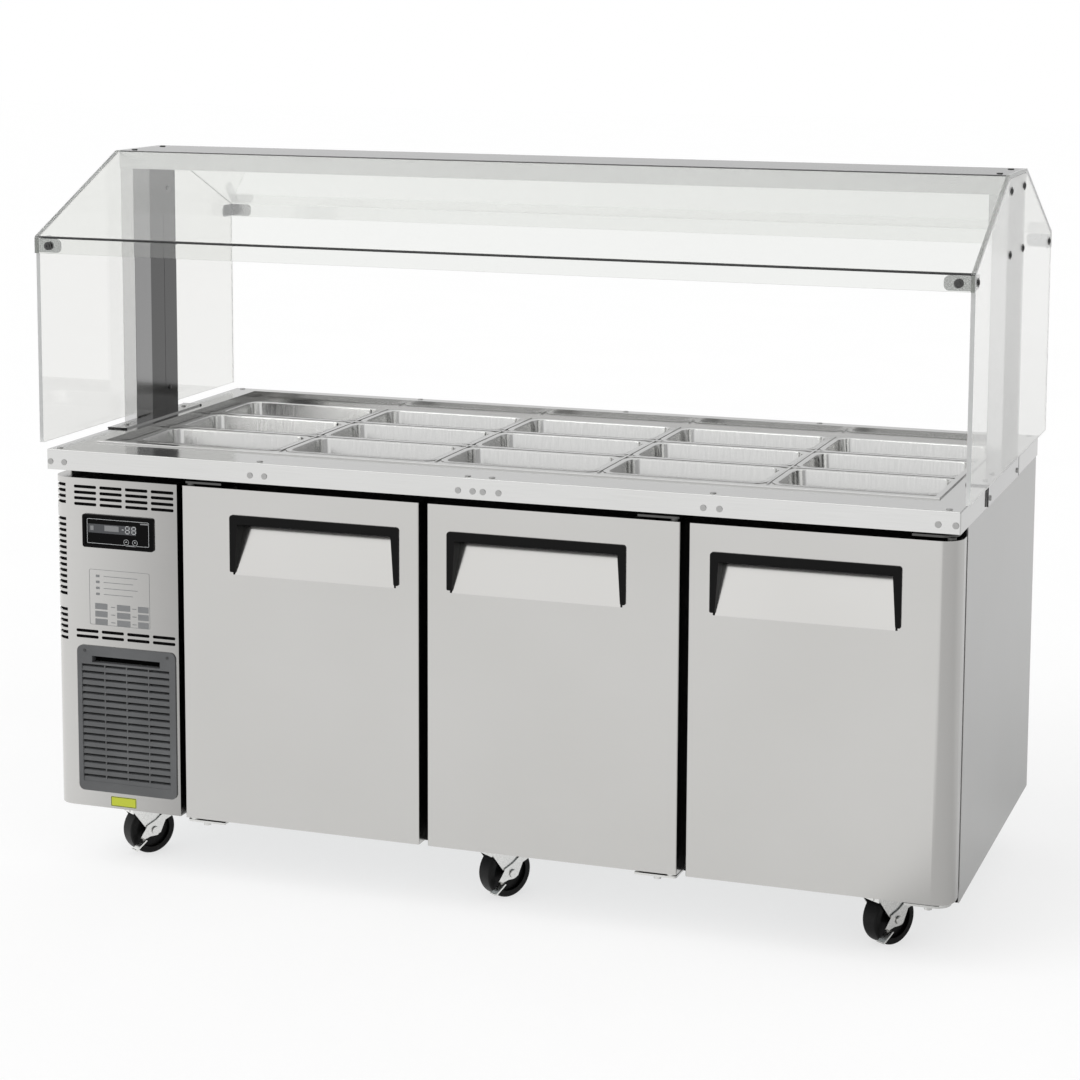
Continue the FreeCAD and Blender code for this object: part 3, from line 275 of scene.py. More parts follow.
def two_tone_steel(name, inside, outside, low, high, roughness):
    """Turned or pressed steel parts of one node: one colour between two heights, another elsewhere."""
    material, tree = blank(name)
    height = parts_of(tree, "Object")["Z"]
    band = calculate(tree, "COMPARE", height, (low + high) / 2, (high - low) / 2)
    marks = grains(tree, (2, 2, 2))
    shade = add(tree, "ShaderNodeMix", {"Factor": band}, data_type="RGBA")
    tree.links.new(mottled(tree, marks, outside, 0.94, 1.05), shade.inputs["A"])
    tree.links.new(mottled(tree, marks, inside, 0.94, 1.05), shade.inputs["B"])
    surface(tree, {"Base Color": shade.outputs["Result"], "Metallic": 1.0,
                   "Roughness": spread(tree, marks, roughness - 0.04, roughness + 0.05)})
    return material


def polished_post(name, colour):
    """Posts polished upright, their inner faces dimmed by a painted reflection of a dark room: a lighter
    painted band in front of a darker one.
    """
    lighter, darker = 0.6, 0.22
    strips_meet_y = -23 * MM
    material, tree = blank(name)
    scratches = grains(tree, (1.2, 1.2, 90), 3.0)
    place = parts_of(tree, "Object")
    # The posts stand 0.9 m from the middle, so this product is near -0.9 on their inner faces, and 0 or
    # 0.9 on their other flat faces.
    outward = calculate(tree, "MULTIPLY", place["X"], parts_of(tree, "Normal")["X"])
    inner_face = calculate(tree, "LESS_THAN", outward, -0.5)
    # Painted reflection: the inner faces are darkened, lighter in front and darker behind, for the dark room
    # they mirror.
    painted_reflection_strips = remap(tree, place["Y"], strips_meet_y - 1 * MM, strips_meet_y, lighter, darker)
    shown = scaled(tree, mottled(tree, scratches, colour, 0.98, 1.02), blend(tree, inner_face, 1.0, painted_reflection_strips))
    surface(tree, {"Base Color": shown, "Metallic": 1.0,
                   "Roughness": spread(tree, scratches, 0.09, 0.13)})
    return material


def drawn_steel(colour):
    """Pressed stainless pan: bright, with faint draw marks down the walls."""
    material, tree = blank("deep_drawn_stainless_steel")
    marks = grains(tree, (3, 3, 40), 2.0)
    waves = grains(tree, (60, 60, 60), 1.0)
    surface(tree, {"Base Color": mottled(tree, marks, colour, 0.96, 1.03), "Metallic": 1.0,
                   "Roughness": spread(tree, marks, 0.16, 0.24),
                   "Normal": relief(tree, waves, 0.08, 1.0)})
    return material


def zinc_plate(name, colour):
    """Bright zinc-plated pressing, with a soft mottled shine."""
    material, tree = blank(name)
    spots = grains(tree, (4, 4, 4), 3.0)
    surface(tree, {"Base Color": mottled(tree, spots, colour, 0.88, 1.06), "Metallic": 1.0,
                   "Roughness": spread(tree, spots, 0.18, 0.3)})
    return material


def galvanised_sheet(colour):
    """Hot-dip galvanised sheet: flat crystals about 12 mm across, each with its own grey."""
    material, tree = blank("galvanised_sheet")
    place = add(tree, "ShaderNodeTexCoord")
    cells = add(tree, "ShaderNodeTexVoronoi", {"Vector": place.outputs["Object"],
                                               "Scale": 1 / (12 * MM)})
    grey = add(tree, "ShaderNodeSeparateColor", {"Color": cells.outputs["Color"]})
    value = grey.outputs["Red"]
    surface(tree, {"Base Color": mottled(tree, value, colour, 0.86, 1.06), "Metallic": 1.0,
                   "Roughness": spread(tree, value, 0.36, 0.5)})
    return material


def finned_aluminium(colour):
    """Coil of aluminium fins: a fin every 2.5 mm, so fine upright lines; the darker bands between the fins
    are painted shade.
    """
    material, tree = blank("finned_aluminium")
    place = add(tree, "ShaderNodeTexCoord")
    fins = add(tree, "ShaderNodeTexWave", {"Vector": place.outputs["Object"],
                                           "Scale": 1 / (20 * 2.5 * MM), "Distortion": 0.2},
               bands_direction="X")
    value = fins.outputs["Fac"]
    # Painted shade: the wave darkens the colour in the gaps between the fins.
    surface(tree, {"Base Color": mottled(tree, value, colour, 0.45, 1.0), "Metallic": 1.0,
                   "Roughness": 0.42, "Normal": relief(tree, value, 0.6, 1.0)})
    return material


def moulded_plastic(name, colour, grit, roughness, depth=0.25, shine=0.5):
    """Injection-moulded plastic with a spark-eroded texture: even colour, soft broken sheen."""
    material, tree = blank(name)
    texture = grains(tree, (grit, grit, grit), 2.0)
    shade = grains(tree, (90, 90, 90), 2.0)
    surface(tree, {"Base Color": mottled(tree, shade, colour, 0.9, 1.1),
                   "Specular IOR Level": shine,
                   "Roughness": spread(tree, texture, roughness - 0.06, roughness + 0.08),
                   "Normal": relief(tree, texture, depth, 0.15)})
    return material


def powder_coat(name, colour, roughness):
    """Baked epoxy or enamel coat: a slight orange peel 2 mm across."""
    material, tree = blank(name)
    peel = grains(tree, (2, 2, 2), 1.0)
    surface(tree, {"Base Color": mottled(tree, peel, colour, 0.97, 1.03),
                   "Roughness": spread(tree, peel, roughness - 0.04, roughness + 0.04),
                   "Normal": relief(tree, peel, 0.2, 0.1)})
    return material


def rigid_foam(colour):
    """Cut polyurethane foam: matt, open cells about 1.5 mm across."""
    material, tree = blank("rigid_polyurethane_foam")
    cells = grains(tree, (1.5, 1.5, 1.5), 3.0)
    surface(tree, {"Base Color": mottled(tree, cells, colour, 0.85, 1.08), "Roughness": 0.9,
                   "Normal": relief(tree, cells, 0.6, 0.8)})
    return material


def printed_film(name, colour, roughness):
    """Printed vinyl film: flat colour with the fine tooth of its laminate."""
    material, tree = blank(name)
    tooth = grains(tree, (1.2, 1.2, 1.2), 1.0)
    surface(tree, {"Base Color": mottled(tree, tooth, colour, 0.97, 1.03),
                   "Roughness": spread(tree, tooth, roughness - 0.05, roughness + 0.05)})
    return material


def sheet_edge(tree, across_x):
    """1 on the sawn edges of a sheet and 0 on its faces; across_x is for a sheet that lies across X."""
    steep = calculate(tree, "ABSOLUTE", parts_of(tree, "Normal")["X"])
    return calculate(tree, "LESS_THAN" if across_x else "GREATER_THAN", steep, 0.5)


def clear_acrylic(name, colour, edge_colour, across_x):
    """Cast acrylic: clear through its faces; the sawn edges are matt and show as light grey lines."""
    edge_clearness = 0.45
    edge_roughness = 0.4
    face_haze = 0.012
    depth_tint = (0.55, 0.57, 0.57, 1)
    depth_density = 0.4
    material, tree = blank(name)
    haze = grains(tree, (25, 25, 25), 2.0)
    edge = sheet_edge(tree, across_x)
    tint = add(tree, "ShaderNodeMix", {"Factor": edge}, data_type="RGBA")
    tint.inputs["A"].default_value = tone(colour, 1.0)
    tint.inputs["B"].default_value = tone(edge_colour, 1.0)
    clear = remap(tree, edge, 0.0, 1.0, 1.0, edge_clearness)
    rough = calculate(tree, "MULTIPLY_ADD", edge, edge_roughness, spread(tree, haze, 0.0, face_haze))
    sheet = add(tree, "ShaderNodeBsdfPrincipled",
                {"Base Color": tint.outputs["Result"], "IOR": 1.49,
                 "Transmission Weight": clear, "Roughness": rough})
    open_to_lamps = add(tree, "ShaderNodeBsdfTransparent", {"Color": tone(colour, 1.0)})
    ray = add(tree, "ShaderNodeLightPath")
    either = add(tree, "ShaderNodeMixShader", {"Fac": ray.outputs["Is Shadow Ray"]})
    tree.links.new(sheet.outputs["BSDF"], either.inputs[1])
    tree.links.new(open_to_lamps.outputs["BSDF"], either.inputs[2])
    depth = add(tree, "ShaderNodeVolumeAbsorption", {"Color": depth_tint, "Density": depth_density})
    add(tree, "ShaderNodeOutputMaterial", {"Surface": either.outputs["Shader"],
                                           "Volume": depth.outputs["Volume"]})
    return material


def room_level(tree, direction):
    """Brightness of the reflected room in the compass direction of a vector."""
    parts = add(tree, "ShaderNodeSeparateXYZ", {"Vector": direction}).outputs
    to_front = calculate(tree, "MULTIPLY", parts["Y"], -1.0)
    angle = calculate(tree, "ARCTAN2", parts["X"], to_front)
    ramp = add(tree, "ShaderNodeValToRGB", {"Fac": remap(tree, angle, -math.pi, math.pi, 0.0, 1.0)})
    stops = ramp.color_ramp.elements
    for degrees, level in ROOM_LEVELS:
        position = (degrees + 180) / 360
        stop = stops[0] if position == 0 else stops[-1] if position == 1 else stops.new(position)
        stop.color = (level, level, level, 1)
    return ramp.outputs["Color"]


def mirrored_in_metal(tree, ray):
    """1 for a ray that has bounced off something shiny, also behind clear sheet, else 0."""
    return calculate(tree, "GREATER_THAN", ray.outputs["Glossy Depth"], 0.5)


def coat(names, material):
    """Gives CAD nodes a material."""
    for name in names:
        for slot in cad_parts[name].material_slots:
            slot.material = material


# ---------------------------------------------------------------- modelling

def deselect():
    """Nothing selected, so that an operator acts only on what follows."""
    if bpy.context.object and bpy.context.object.mode != "OBJECT":
        bpy.ops.object.mode_set(mode="OBJECT")
    bpy.ops.object.select_all(action="DESELECT")


def pick(test):
    """In edit mode, selects just the vertices that pass a test, and what lies between them."""
    bpy.ops.mesh.select_all(action="DESELECT")
    data = bpy.context.object.data
    mesh = bmesh.from_edit_mesh(data)
    for vert in mesh.verts:
        vert.select = test(vert.co)
    mesh.select_flush(True)
    bmesh.update_edit_mesh(data)


def done(name, material, body):
    """Leaves edit mode and gives the piece its name, material and body."""
    sharp_from = math.radians(35)
    bpy.ops.object.mode_set(mode="OBJECT")
    piece = bpy.context.object
    bpy.ops.object.transform_apply(location=True, rotation=True, scale=True)
    bpy.ops.object.shade_smooth_by_angle(angle=sharp_from)
    piece.name = name
    piece.data.name = name
    piece.data.materials.clear()
    piece.data.materials.append(material)
    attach(piece, body)
    return piece


def copy_of(piece, name):
    """Copy of a piece that has its own mesh, on the same body."""
    copy = piece.copy()
    copy.data = piece.data.copy()
    copy.name = name
    copy.data.name = name
    bpy.context.scene.collection.objects.link(copy)
    return copy


def shift(x, y, z):
    """Values of a move along the axes."""
    return {"value": (x, y, z)}


def rectangle(width, depth, corner, steps, place, turn=0.0):
    """Flat face with rounded corners, made in edit mode; turn tips it up about X."""
    bpy.ops.mesh.primitive_plane_add(size=1, location=place)
    bpy.ops.transform.resize(value=(width, depth, 1), center_override=place)
    if turn:
        bpy.ops.transform.rotate(value=turn, orient_axis="X", center_override=place)
    if corner:
        bpy.ops.mesh.bevel(offset=corner, segments=steps, affect="VERTICES")


def start_mesh(name):
    """New empty mesh object, open in edit mode."""
    deselect()
    data = bpy.data.meshes.new(name)
    made = bpy.data.objects.new(name, data)
    bpy.context.scene.collection.objects.link(made)
    bpy.context.view_layer.objects.active = made
    made.select_set(True)
    bpy.ops.object.mode_set(mode="EDIT")
    bpy.ops.mesh.select_mode(type="VERT")


def model_pan(name, low, high, sizes, material, body):
    """Deep-drawn pan: flat rim, rounded upright corners, leaning walls and a bent floor."""
    middle = (low + high) / 2
    top = high.z
    depth = high.z - low.z
    length = high.x - low.x
    width = high.y - low.y
    place = (middle.x, middle.y, top)
    mouth_length = length - 2 * sizes.pan_flange
    mouth_width = width - 2 * sizes.pan_flange
    corner_steps = 6
    rim_bend = 2.5 * MM
    start_mesh(name)
    rectangle(mouth_length, mouth_width, sizes.pan_corner, corner_steps, place)
    bpy.ops.mesh.extrude_region_move(TRANSFORM_OT_translate=shift(0, 0, sizes.pan_wall - depth))
    lean = (1 - 2 * sizes.pan_taper / mouth_length, 1 - 2 * sizes.pan_taper / mouth_width, 1)
    bpy.ops.transform.resize(value=lean, center_override=place)
    bpy.ops.mesh.region_to_loop()
    bpy.ops.mesh.bevel(offset=sizes.pan_floor_bend, segments=4, affect="EDGES")
    tiny = 0.1 * MM
    bpy.ops.mesh.select_mode(type="VERT")
    pick(lambda co: co.z > top - tiny)
    bpy.ops.mesh.delete(type="ONLY_FACE")
    pick(lambda co: co.z > top - tiny)
    bpy.ops.mesh.extrude_edges_move()
    bpy.ops.transform.resize(value=(length / mouth_length, width / mouth_width, 1),
                             center_override=place)
    pick(lambda co: co.z > top - tiny and abs(co.x - middle.x) < mouth_length / 2 + tiny
         and abs(co.y - middle.y) < mouth_width / 2 + tiny)
    bpy.ops.mesh.bevel(offset=rim_bend, segments=2, affect="EDGES")
    bpy.ops.mesh.select_all(action="SELECT")
    bpy.ops.mesh.normals_make_consistent(inside=False)
    look(2, (0, 0, 1))
    thicken(sizes.pan_wall)
    return done(name, material, body)


def look(axis, direction):
    """Turns an open shell round if its lowest face along an axis looks away from a direction."""
    mesh = bmesh.from_edit_mesh(bpy.context.object.data)
    first = min(mesh.faces, key=lambda face: face.calc_center_median()[axis])
    if first.normal.dot(Vector(direction)) < 0:
        bpy.ops.mesh.flip_normals()


def thicken(thickness, offset=-1.0):
    """Leaves edit mode and gives an open shell its thickness."""
    bpy.ops.object.mode_set(mode="OBJECT")
    wall = bpy.context.object.modifiers.new("wall", "SOLIDIFY")
    wall.thickness = thickness
    wall.offset = offset
    bpy.ops.object.modifier_apply(modifier=wall.name)


def front_plate(place, size, thickness, corner=0.0, rim=0.0, steps=3):
    """Thin plate that stands on a front face, in edit mode; a rim leaves only its border."""
    rectangle(size[0], size[1], corner, steps, place, math.pi / 2)
    if rim:
        bpy.ops.mesh.inset(thickness=rim)
        bpy.ops.mesh.delete(type="FACE")
        pick_near_plate(place, size)
    bpy.ops.mesh.extrude_region_move(TRANSFORM_OT_translate=shift(0, -thickness, 0))
    bpy.ops.mesh.select_all(action="DESELECT")


def on_face(middle, face, across, up):
    """Place on a front face, so many millimetres to the right of a middle and above it."""
    return (middle.x + across * MM, face, middle.z + up * MM)


def pick_near_plate(place, size):
    """Selects what lies on the plane of a plate, inside its outline."""
    tiny = 0.05 * MM
    pick(lambda co: abs(co.y - place[1]) < tiny and abs(co.x - place[0]) < size[0] / 2 + tiny
         and abs(co.z - place[2]) < size[1] / 2 + tiny)


# ---------------------------------------------------------------- operators

def settings(context):
    """Sizes and colours of the scene."""
    return context.scene.salad_bar_sizes, context.scene.salad_bar_colours


class SALADBAR_OT_steel(Operator):
    """Finish the stainless, zinc and galvanised parts"""
    bl_idname = "salad_bar.steel"
    bl_label = "Metal finishes"

    def execute(self, context):
        colours = settings(context)[1]
        along_x = (90, 1.2, 1.2)
        upright = (1.2, 1.2, 90)
        coat(["worktop", "well_frame", "pan_bars"],
             brushed_steel("brushed_stainless_worktop", colours.worktop, along_x,
                           roughness=0.13, contrast=0.03))
        # The door faces get painted shade, and the slopes under their pulls get painted light.
        coat(["door_skin_" + column for column in COLUMNS],
             brushed_steel("brushed_stainless_doors", colours.panel, along_x,
                           roughness=0.16, contrast=0.006, painted_scoop_light=True))
        # The machine front darkens towards its right end: painted shade.
        low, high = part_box("machine_panel")
        coat(["machine_panel"],
             brushed_steel("brushed_stainless_front", colours.panel, along_x,
                           roughness=0.2, contrast=0.01, painted_shade_along_x=(low.x, high.x, 0.62)))
        coat(["side_panels", "compartment_liner"],
             brushed_steel("brushed_stainless_sides", colours.side, upright,
                           roughness=0.3, contrast=0.02))
        coat(["posts"], polished_post("polished_stainless_posts", colours.post))
        coat(["post_feet"],
             brushed_steel("brushed_stainless_feet", colours.post, along_x, roughness=0.15, contrast=0.02))
        coat(["top_channel"],
             brushed_steel("brushed_stainless_channel", colours.channel, along_x,
                           roughness=0.25, contrast=0.012))
        top_low, top_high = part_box("worktop")
        plugs_low, plugs_high = top_low.z - 10 * MM, top_high.z + 6 * MM
        coat(["fasteners"], two_tone_steel("turned_steel_screws", colours.plug, colours.screw,
                                           plugs_low, plugs_high, roughness=0.3))
        # The upper hinge plates get a dark grey, painted shade under the apron. The lower ones keep the light
        # zinc grey.
        hinges_low, hinges_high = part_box("hinge_brackets")
        lower_ones_end = (hinges_low.z + hinges_high.z) / 2
        coat(["hinge_brackets"], two_tone_steel("pressed_steel_hinges", colours.hinge,
                                                colours.hinge_painted_shade, 0, lower_ones_end, roughness=0.3))
        coat(["caster_plates"]
             + ["caster_fork_" + name for name in CASTERS]
             + ["brake_pedal_front_" + column for column in COLUMNS],
             zinc_plate("bright_zinc_plate", colours.zinc))
        coat(["cabinet_case", "well_tub"], galvanised_sheet(colours.galvanised))
        coat(["condenser", "evaporator"], finned_aluminium(colours.aluminium))
        return {"FINISHED"}


class SALADBAR_OT_plastics(Operator):
    """Finish the plastic, rubber, foam and coated parts"""
    bl_idname = "salad_bar.plastics"
    bl_label = "Plastic finishes"

    def execute(self, context):
        colours = settings(context)[1]
        coat(["door_handle_" + column for column in COLUMNS] + ["face_frame"],
             moulded_plastic("moulded_abs_black", colours.trim, grit=0.9, roughness=0.42, shine=0.1))
        coat(["air_grille"],
             moulded_plastic("moulded_abs_grey", colours.grille, grit=0.9, roughness=0.5, shine=0.3))
        coat(["control_panel", "control_button_left", "control_button_right"],
             moulded_plastic("moulded_abs_gloss_black", colours.bezel, grit=3.0, roughness=0.22,
                             depth=0.05, shine=0.06))
        coat(["door_gasket_" + column for column in COLUMNS],
             moulded_plastic("soft_pvc_seal", colours.seal, grit=1.5, roughness=0.65))
        coat(["door_core_" + column for column in COLUMNS],
             moulded_plastic("vacuum_formed_liner", colours.liner, grit=1.5, roughness=0.4))
        coat(["caster_wheel_" + name for name in CASTERS],
             moulded_plastic("hard_rubber_wheel", colours.wheel, grit=1.2, roughness=0.45, shine=0.2))
        coat(["condenser_fan", "evaporator_fan", "cable_gland"],
             moulded_plastic("moulded_nylon_black", colours.trim, grit=1.2, roughness=0.55))
        coat(["insulation"], rigid_foam(colours.foam))
        coat(["shelves"], powder_coat("epoxy_coated_wire", colours.coating, roughness=0.4))
        coat(["compressor"], powder_coat("black_enamel", colours.trim, roughness=0.35))
        return {"FINISHED"}


class SALADBAR_OT_guard(Operator):
    """Finish the clear sheets of the guard and model its four corner clips"""
    bl_idname = "salad_bar.guard"
    bl_label = "Clear guard"

    def execute(self, context):
        colours = settings(context)[1]
        coat(["guard_canopy"], clear_acrylic("clear_acrylic_canopy", colours.canopy,
                                             colours.acrylic_edge, False))
        coat(["end_panels"], clear_acrylic("clear_acrylic_ends", colours.ends,
                                           colours.acrylic_edge, True))
        first = self.clip(zinc_plate("zinc_plated_clips", colours.clip))
        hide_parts("corner_clips")
        for side, end in ((1, -1), (-1, 1), (1, 1)):
            copy = copy_of(first, "corner_clip_" + ("right" if side > 0 else "left")
                           + ("_rear" if end > 0 else ""))
            copy.data.transform(Matrix.Diagonal((-side, -end, 1, 1)))
            if side * end < 0:
                copy.data.flip_normals()
        return {"FINISHED"}

    def clip(self, zinc):
        """Angle clip in the front left corner, a hair clear of the sheets, with rounded free ends."""
        low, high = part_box("corner_clips")
        clear = 0.3 * MM
        leg = 47 * MM
        sheet = 2 * MM
        corner = (low.x + clear, low.y + clear)
        middle = (low.z + high.z) / 2
        start_mesh("corner_clip_left")
        rectangle(leg, high.z - low.z, 0, 1, (corner[0] + leg / 2, corner[1], middle), math.pi / 2)
        tiny = 0.1 * MM
        round_end = 9 * MM
        pick(lambda co: co.x > corner[0] + leg - tiny)
        bpy.ops.mesh.bevel(offset=round_end, segments=5, affect="VERTICES")
        pick(lambda co: co.x < corner[0] + tiny)
        bpy.ops.mesh.extrude_edges_move(TRANSFORM_OT_translate=shift(0, leg, 0))
        pick(lambda co: co.y > corner[1] + leg - tiny)
        bpy.ops.mesh.bevel(offset=round_end, segments=5, affect="VERTICES")
        bpy.ops.mesh.select_all(action="SELECT")
        bpy.ops.mesh.normals_make_consistent(inside=False)
        look(1, (0, -1, 0))
        thicken(sheet)
        return done("corner_clip_left", zinc, "cabinet")


class SALADBAR_OT_pans(Operator):
    """Model the fifteen pans"""
    bl_idname = "salad_bar.pans"
    bl_label = "Pans"

    def execute(self, context):
        sizes, colours = settings(context)
        steel = drawn_steel(colours.pan)
        for row in PAN_ROWS:
            node = "pans_" + row + "_row"
            low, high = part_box(node)
            pitch = (high.x - low.x - sizes.pan_length) / (PAN_COLUMNS - 1)
            first_high = high.copy()
            first_high.x = low.x + sizes.pan_length
            first = model_pan("pan_" + row + "_1", low, first_high, sizes, steel, row + "_pans")
            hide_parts(node)
            for column in range(1, PAN_COLUMNS):
                copy = copy_of(first, "pan_" + row + "_" + str(column + 1))
                copy.data.transform(Matrix.Translation((column * pitch, 0, 0)))
        return {"FINISHED"}


class SALADBAR_OT_controls(Operator):
    """Model the display window, its digits and the marks on the keys"""
    bl_idname = "salad_bar.controls"
    bl_label = "Controls"

    def execute(self, context):
        sizes, colours = settings(context)
        low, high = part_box("control_panel")
        film = sizes.film
        recess = 1.5 * MM
        sunk = low.y + recess
        light = printed_film("screen_print_light", colours.print_light, 0.5)
        grey = printed_film("display_foil_grey", colours.print_grey, 0.3)
        glass = printed_film("display_glass", linear("#3A3C3F"), 0.15)
        middle = (low + high) / 2

        start_mesh("display_outline")
        front_plate(on_face(middle, sunk, 0, 0), (135 * MM, 49 * MM), film, corner=2 * MM, rim=0.8 * MM)
        bpy.ops.mesh.select_all(action="SELECT")
        done("display_outline", light, "cabinet")

        start_mesh("display_window")
        front_plate(on_face(middle, sunk, -12.5, 5.5), (104 * MM, 17.5 * MM), film)
        done("display_window", glass, "cabinet")

        start_mesh("display_marks")
        face = sunk - film
        for across, up, width, height in ((-13.5, 7, 31, 11), (-56.5, 6, 7, 9)):
            front_plate(on_face(middle, face, across, up), (width * MM, height * MM), film)
        for across, up, width, height in ((58.5, 20.5, 19, 2.5), (28, -25.2, 22, 1.2)):
            front_plate(on_face(middle, sunk, across, up), (width * MM, height * MM), film)
        done("display_marks", grey, "cabinet")

        start_mesh("display_digits")
        digits_up = 6.5
        for across in (21, 35):
            self.digit(on_face(middle, face, across, digits_up), film)
        front_plate(on_face(middle, face, 11, digits_up), (5 * MM, 1.6 * MM), film, 0.7 * MM, steps=1)
        done("display_digits", light, "cabinet")

        for side in ("left", "right"):
            self.key_ring(side, film / 2, light)
        return {"FINISHED"}

    def digit(self, place, film):
        """Seven bars of one digit, all of them lit."""
        x, face, z = place
        bar = 1.5 * MM
        bar_end = bar * 0.45
        reach = 8 * MM
        tall = 7 * MM
        for up in (-tall, 0, tall):
            front_plate((x, face, z + up), (reach - bar, bar), film, bar_end, steps=1)
        for side in (-reach / 2, reach / 2):
            for up in (-tall / 2, tall / 2):
                front_plate((x + side, face, z + up), (bar, tall - bar), film, bar_end, steps=1)

    def key_ring(self, side, ink, light):
        """Ring printed on a key, with two short bars in it that make a plain mark."""
        low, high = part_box("control_button_" + side)
        key = (low + high) / 2
        radius = 5.6 * MM
        ring = 0.7 * MM
        bar = 1 * MM
        start_mesh("key_ring_" + side)
        front_plate(on_face(key, low.y, 0, 0), (2 * radius, 2 * radius), ink, radius * 0.99, ring, 8)
        front_plate(on_face(key, low.y, 0, 0), (4.2 * MM, bar), ink)
        front_plate(on_face(key, low.y, 0, 1.2), (bar, 3 * MM), ink)
        done("key_ring_" + side, light, side + "_button")


class SALADBAR_OT_labels(Operator):
    """Model the plain label and the plain sticker on the machine front"""
    bl_idname = "salad_bar.labels"
    bl_label = "Label and sticker"

    def execute(self, context):
        sizes, colours = settings(context)
        film = sizes.film
        panel_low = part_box("machine_panel")[0]
        face = panel_low.y
        control_low, control_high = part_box("control_panel")
        # The label sits under the control panel and 425 mm above the sheet's lower edge.
        middle = Vector(((control_low.x + control_high.x) / 2, face, panel_low.z + 425 * MM))
        grey = printed_film("label_print_grey", colours.print_grey, 0.5)

        start_mesh("label_outline")
        front_plate(middle, (132 * MM, 111 * MM), film, corner=3 * MM, rim=0.7 * MM)
        done("label_outline", grey, "cabinet")

        start_mesh("label_blocks")
        for row in range(3):
            up = -18 - 15.5 * row
            for across, width in ((-40.5, 27), (8.5, 29), (51.5, 23)):
                front_plate(on_face(middle, face, across, up), (width * MM, 12 * MM), film, 0.8 * MM,
                            steps=2)
            for across in (-14.5, 32):
                front_plate(on_face(middle, face, across, up), (9 * MM, 1.6 * MM), film)
        for row in range(4):
            up = 42.5 - 12 * row
            shorter = 5 * (row % 2)
            front_plate(on_face(middle, face, -47.5, up), (8 * MM, 5 * MM), film, 1 * MM, steps=2)
            front_plate(on_face(middle, face, 2.5 - shorter, up), ((74 - 2 * shorter) * MM, 1.1 * MM),
                        film)
        done("label_blocks", grey, "cabinet")

        # The sticker is centred a little to the right, 14.5 mm above the sheet's lower edge.
        sticker = Vector((middle.x + 2 * MM, face, panel_low.z + 14.5 * MM))
        start_mesh("sticker")
        front_plate(sticker, (56 * MM, 20 * MM), film, 1.5 * MM)
        done("sticker", printed_film("vinyl_sticker", colours.sticker, 0.35), "cabinet")

        start_mesh("sticker_border")
        front_plate(on_face(sticker, face - film, 0, 0), (55 * MM, 19 * MM), film / 2, corner=1.2 * MM,
                    rim=1.1 * MM)
        done("sticker_border", printed_film("vinyl_sticker_border", linear("#2C2F14"), 0.4),
             "cabinet")
        return {"FINISHED"}


class SALADBAR_OT_screen(Operator):
    """Model the black filter cloth behind the air slots, and a black sheet behind the grille that stands in
    for the shade between its slats: painted shade
    """
    bl_idname = "salad_bar.screen"
    bl_label = "Slot screen"

    def execute(self, context):
        low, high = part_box("machine_panel")
        gap = 5 * MM
        bend = 33 * MM
        turn_x = low.x + gap + bend
        face_y = low.y + gap
        bottom, top = low.z + 331.5 * MM, high.z - 10 * MM
        upper_slots_bottom = high.z - 59 * MM
        lower_slots_top = bottom + 34 * MM
        right = high.x - 4 * MM
        lap = 6 * MM
        along_side = 30 * MM
        steps = 8
        tiny = 0.05 * MM
        start_mesh("slot_screen")
        rectangle(lap, top - bottom, 0, 1, (turn_x + lap / 2, face_y, (bottom + top) / 2), math.pi / 2)
        pick(lambda co: co.x < turn_x + tiny)
        for step in range(steps):
            before, after = (math.pi / 2 * share / steps for share in (step, step + 1))
            bpy.ops.mesh.extrude_edges_move(TRANSFORM_OT_translate=shift(
                bend * (math.sin(before) - math.sin(after)), bend * (math.cos(before) - math.cos(after)), 0))
        bpy.ops.mesh.extrude_edges_move(TRANSFORM_OT_translate=shift(0, along_side, 0))
        bpy.ops.mesh.select_all(action="DESELECT")
        for strip_low, strip_high in ((upper_slots_bottom, top), (bottom, lower_slots_top)):
            rectangle(right - turn_x - lap, strip_high - strip_low, 0, 1,
                      ((right + turn_x + lap) / 2, face_y, (strip_low + strip_high) / 2), math.pi / 2)
        # The sheet behind the grille is a black sheet put where there is only shade between the slats:
        # painted shade.
        grille_low, grille_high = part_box("air_grille")
        middle = (grille_low + grille_high) / 2
        margin = 20 * MM
        behind_grille = 19 * MM
        rectangle(grille_high.x - grille_low.x - margin, grille_high.z - grille_low.z - margin, 0, 1,
                  (middle.x, low.y + behind_grille, middle.z), math.pi / 2)
        bpy.ops.mesh.select_all(action="SELECT")
        bpy.ops.mesh.remove_doubles(threshold=tiny)
        bpy.ops.mesh.normals_make_consistent(inside=False)
        cloth_thickness = 1 * MM
        thicken(cloth_thickness, offset=0.0)
        cloth = moulded_plastic("black_filter_cloth_and_shade_sheet", settings(context)[1].screen, grit=1.5,
                                roughness=0.9, depth=0.5, shine=0.1)
        done("slot_screen", cloth, "cabinet")
        return {"FINISHED"}


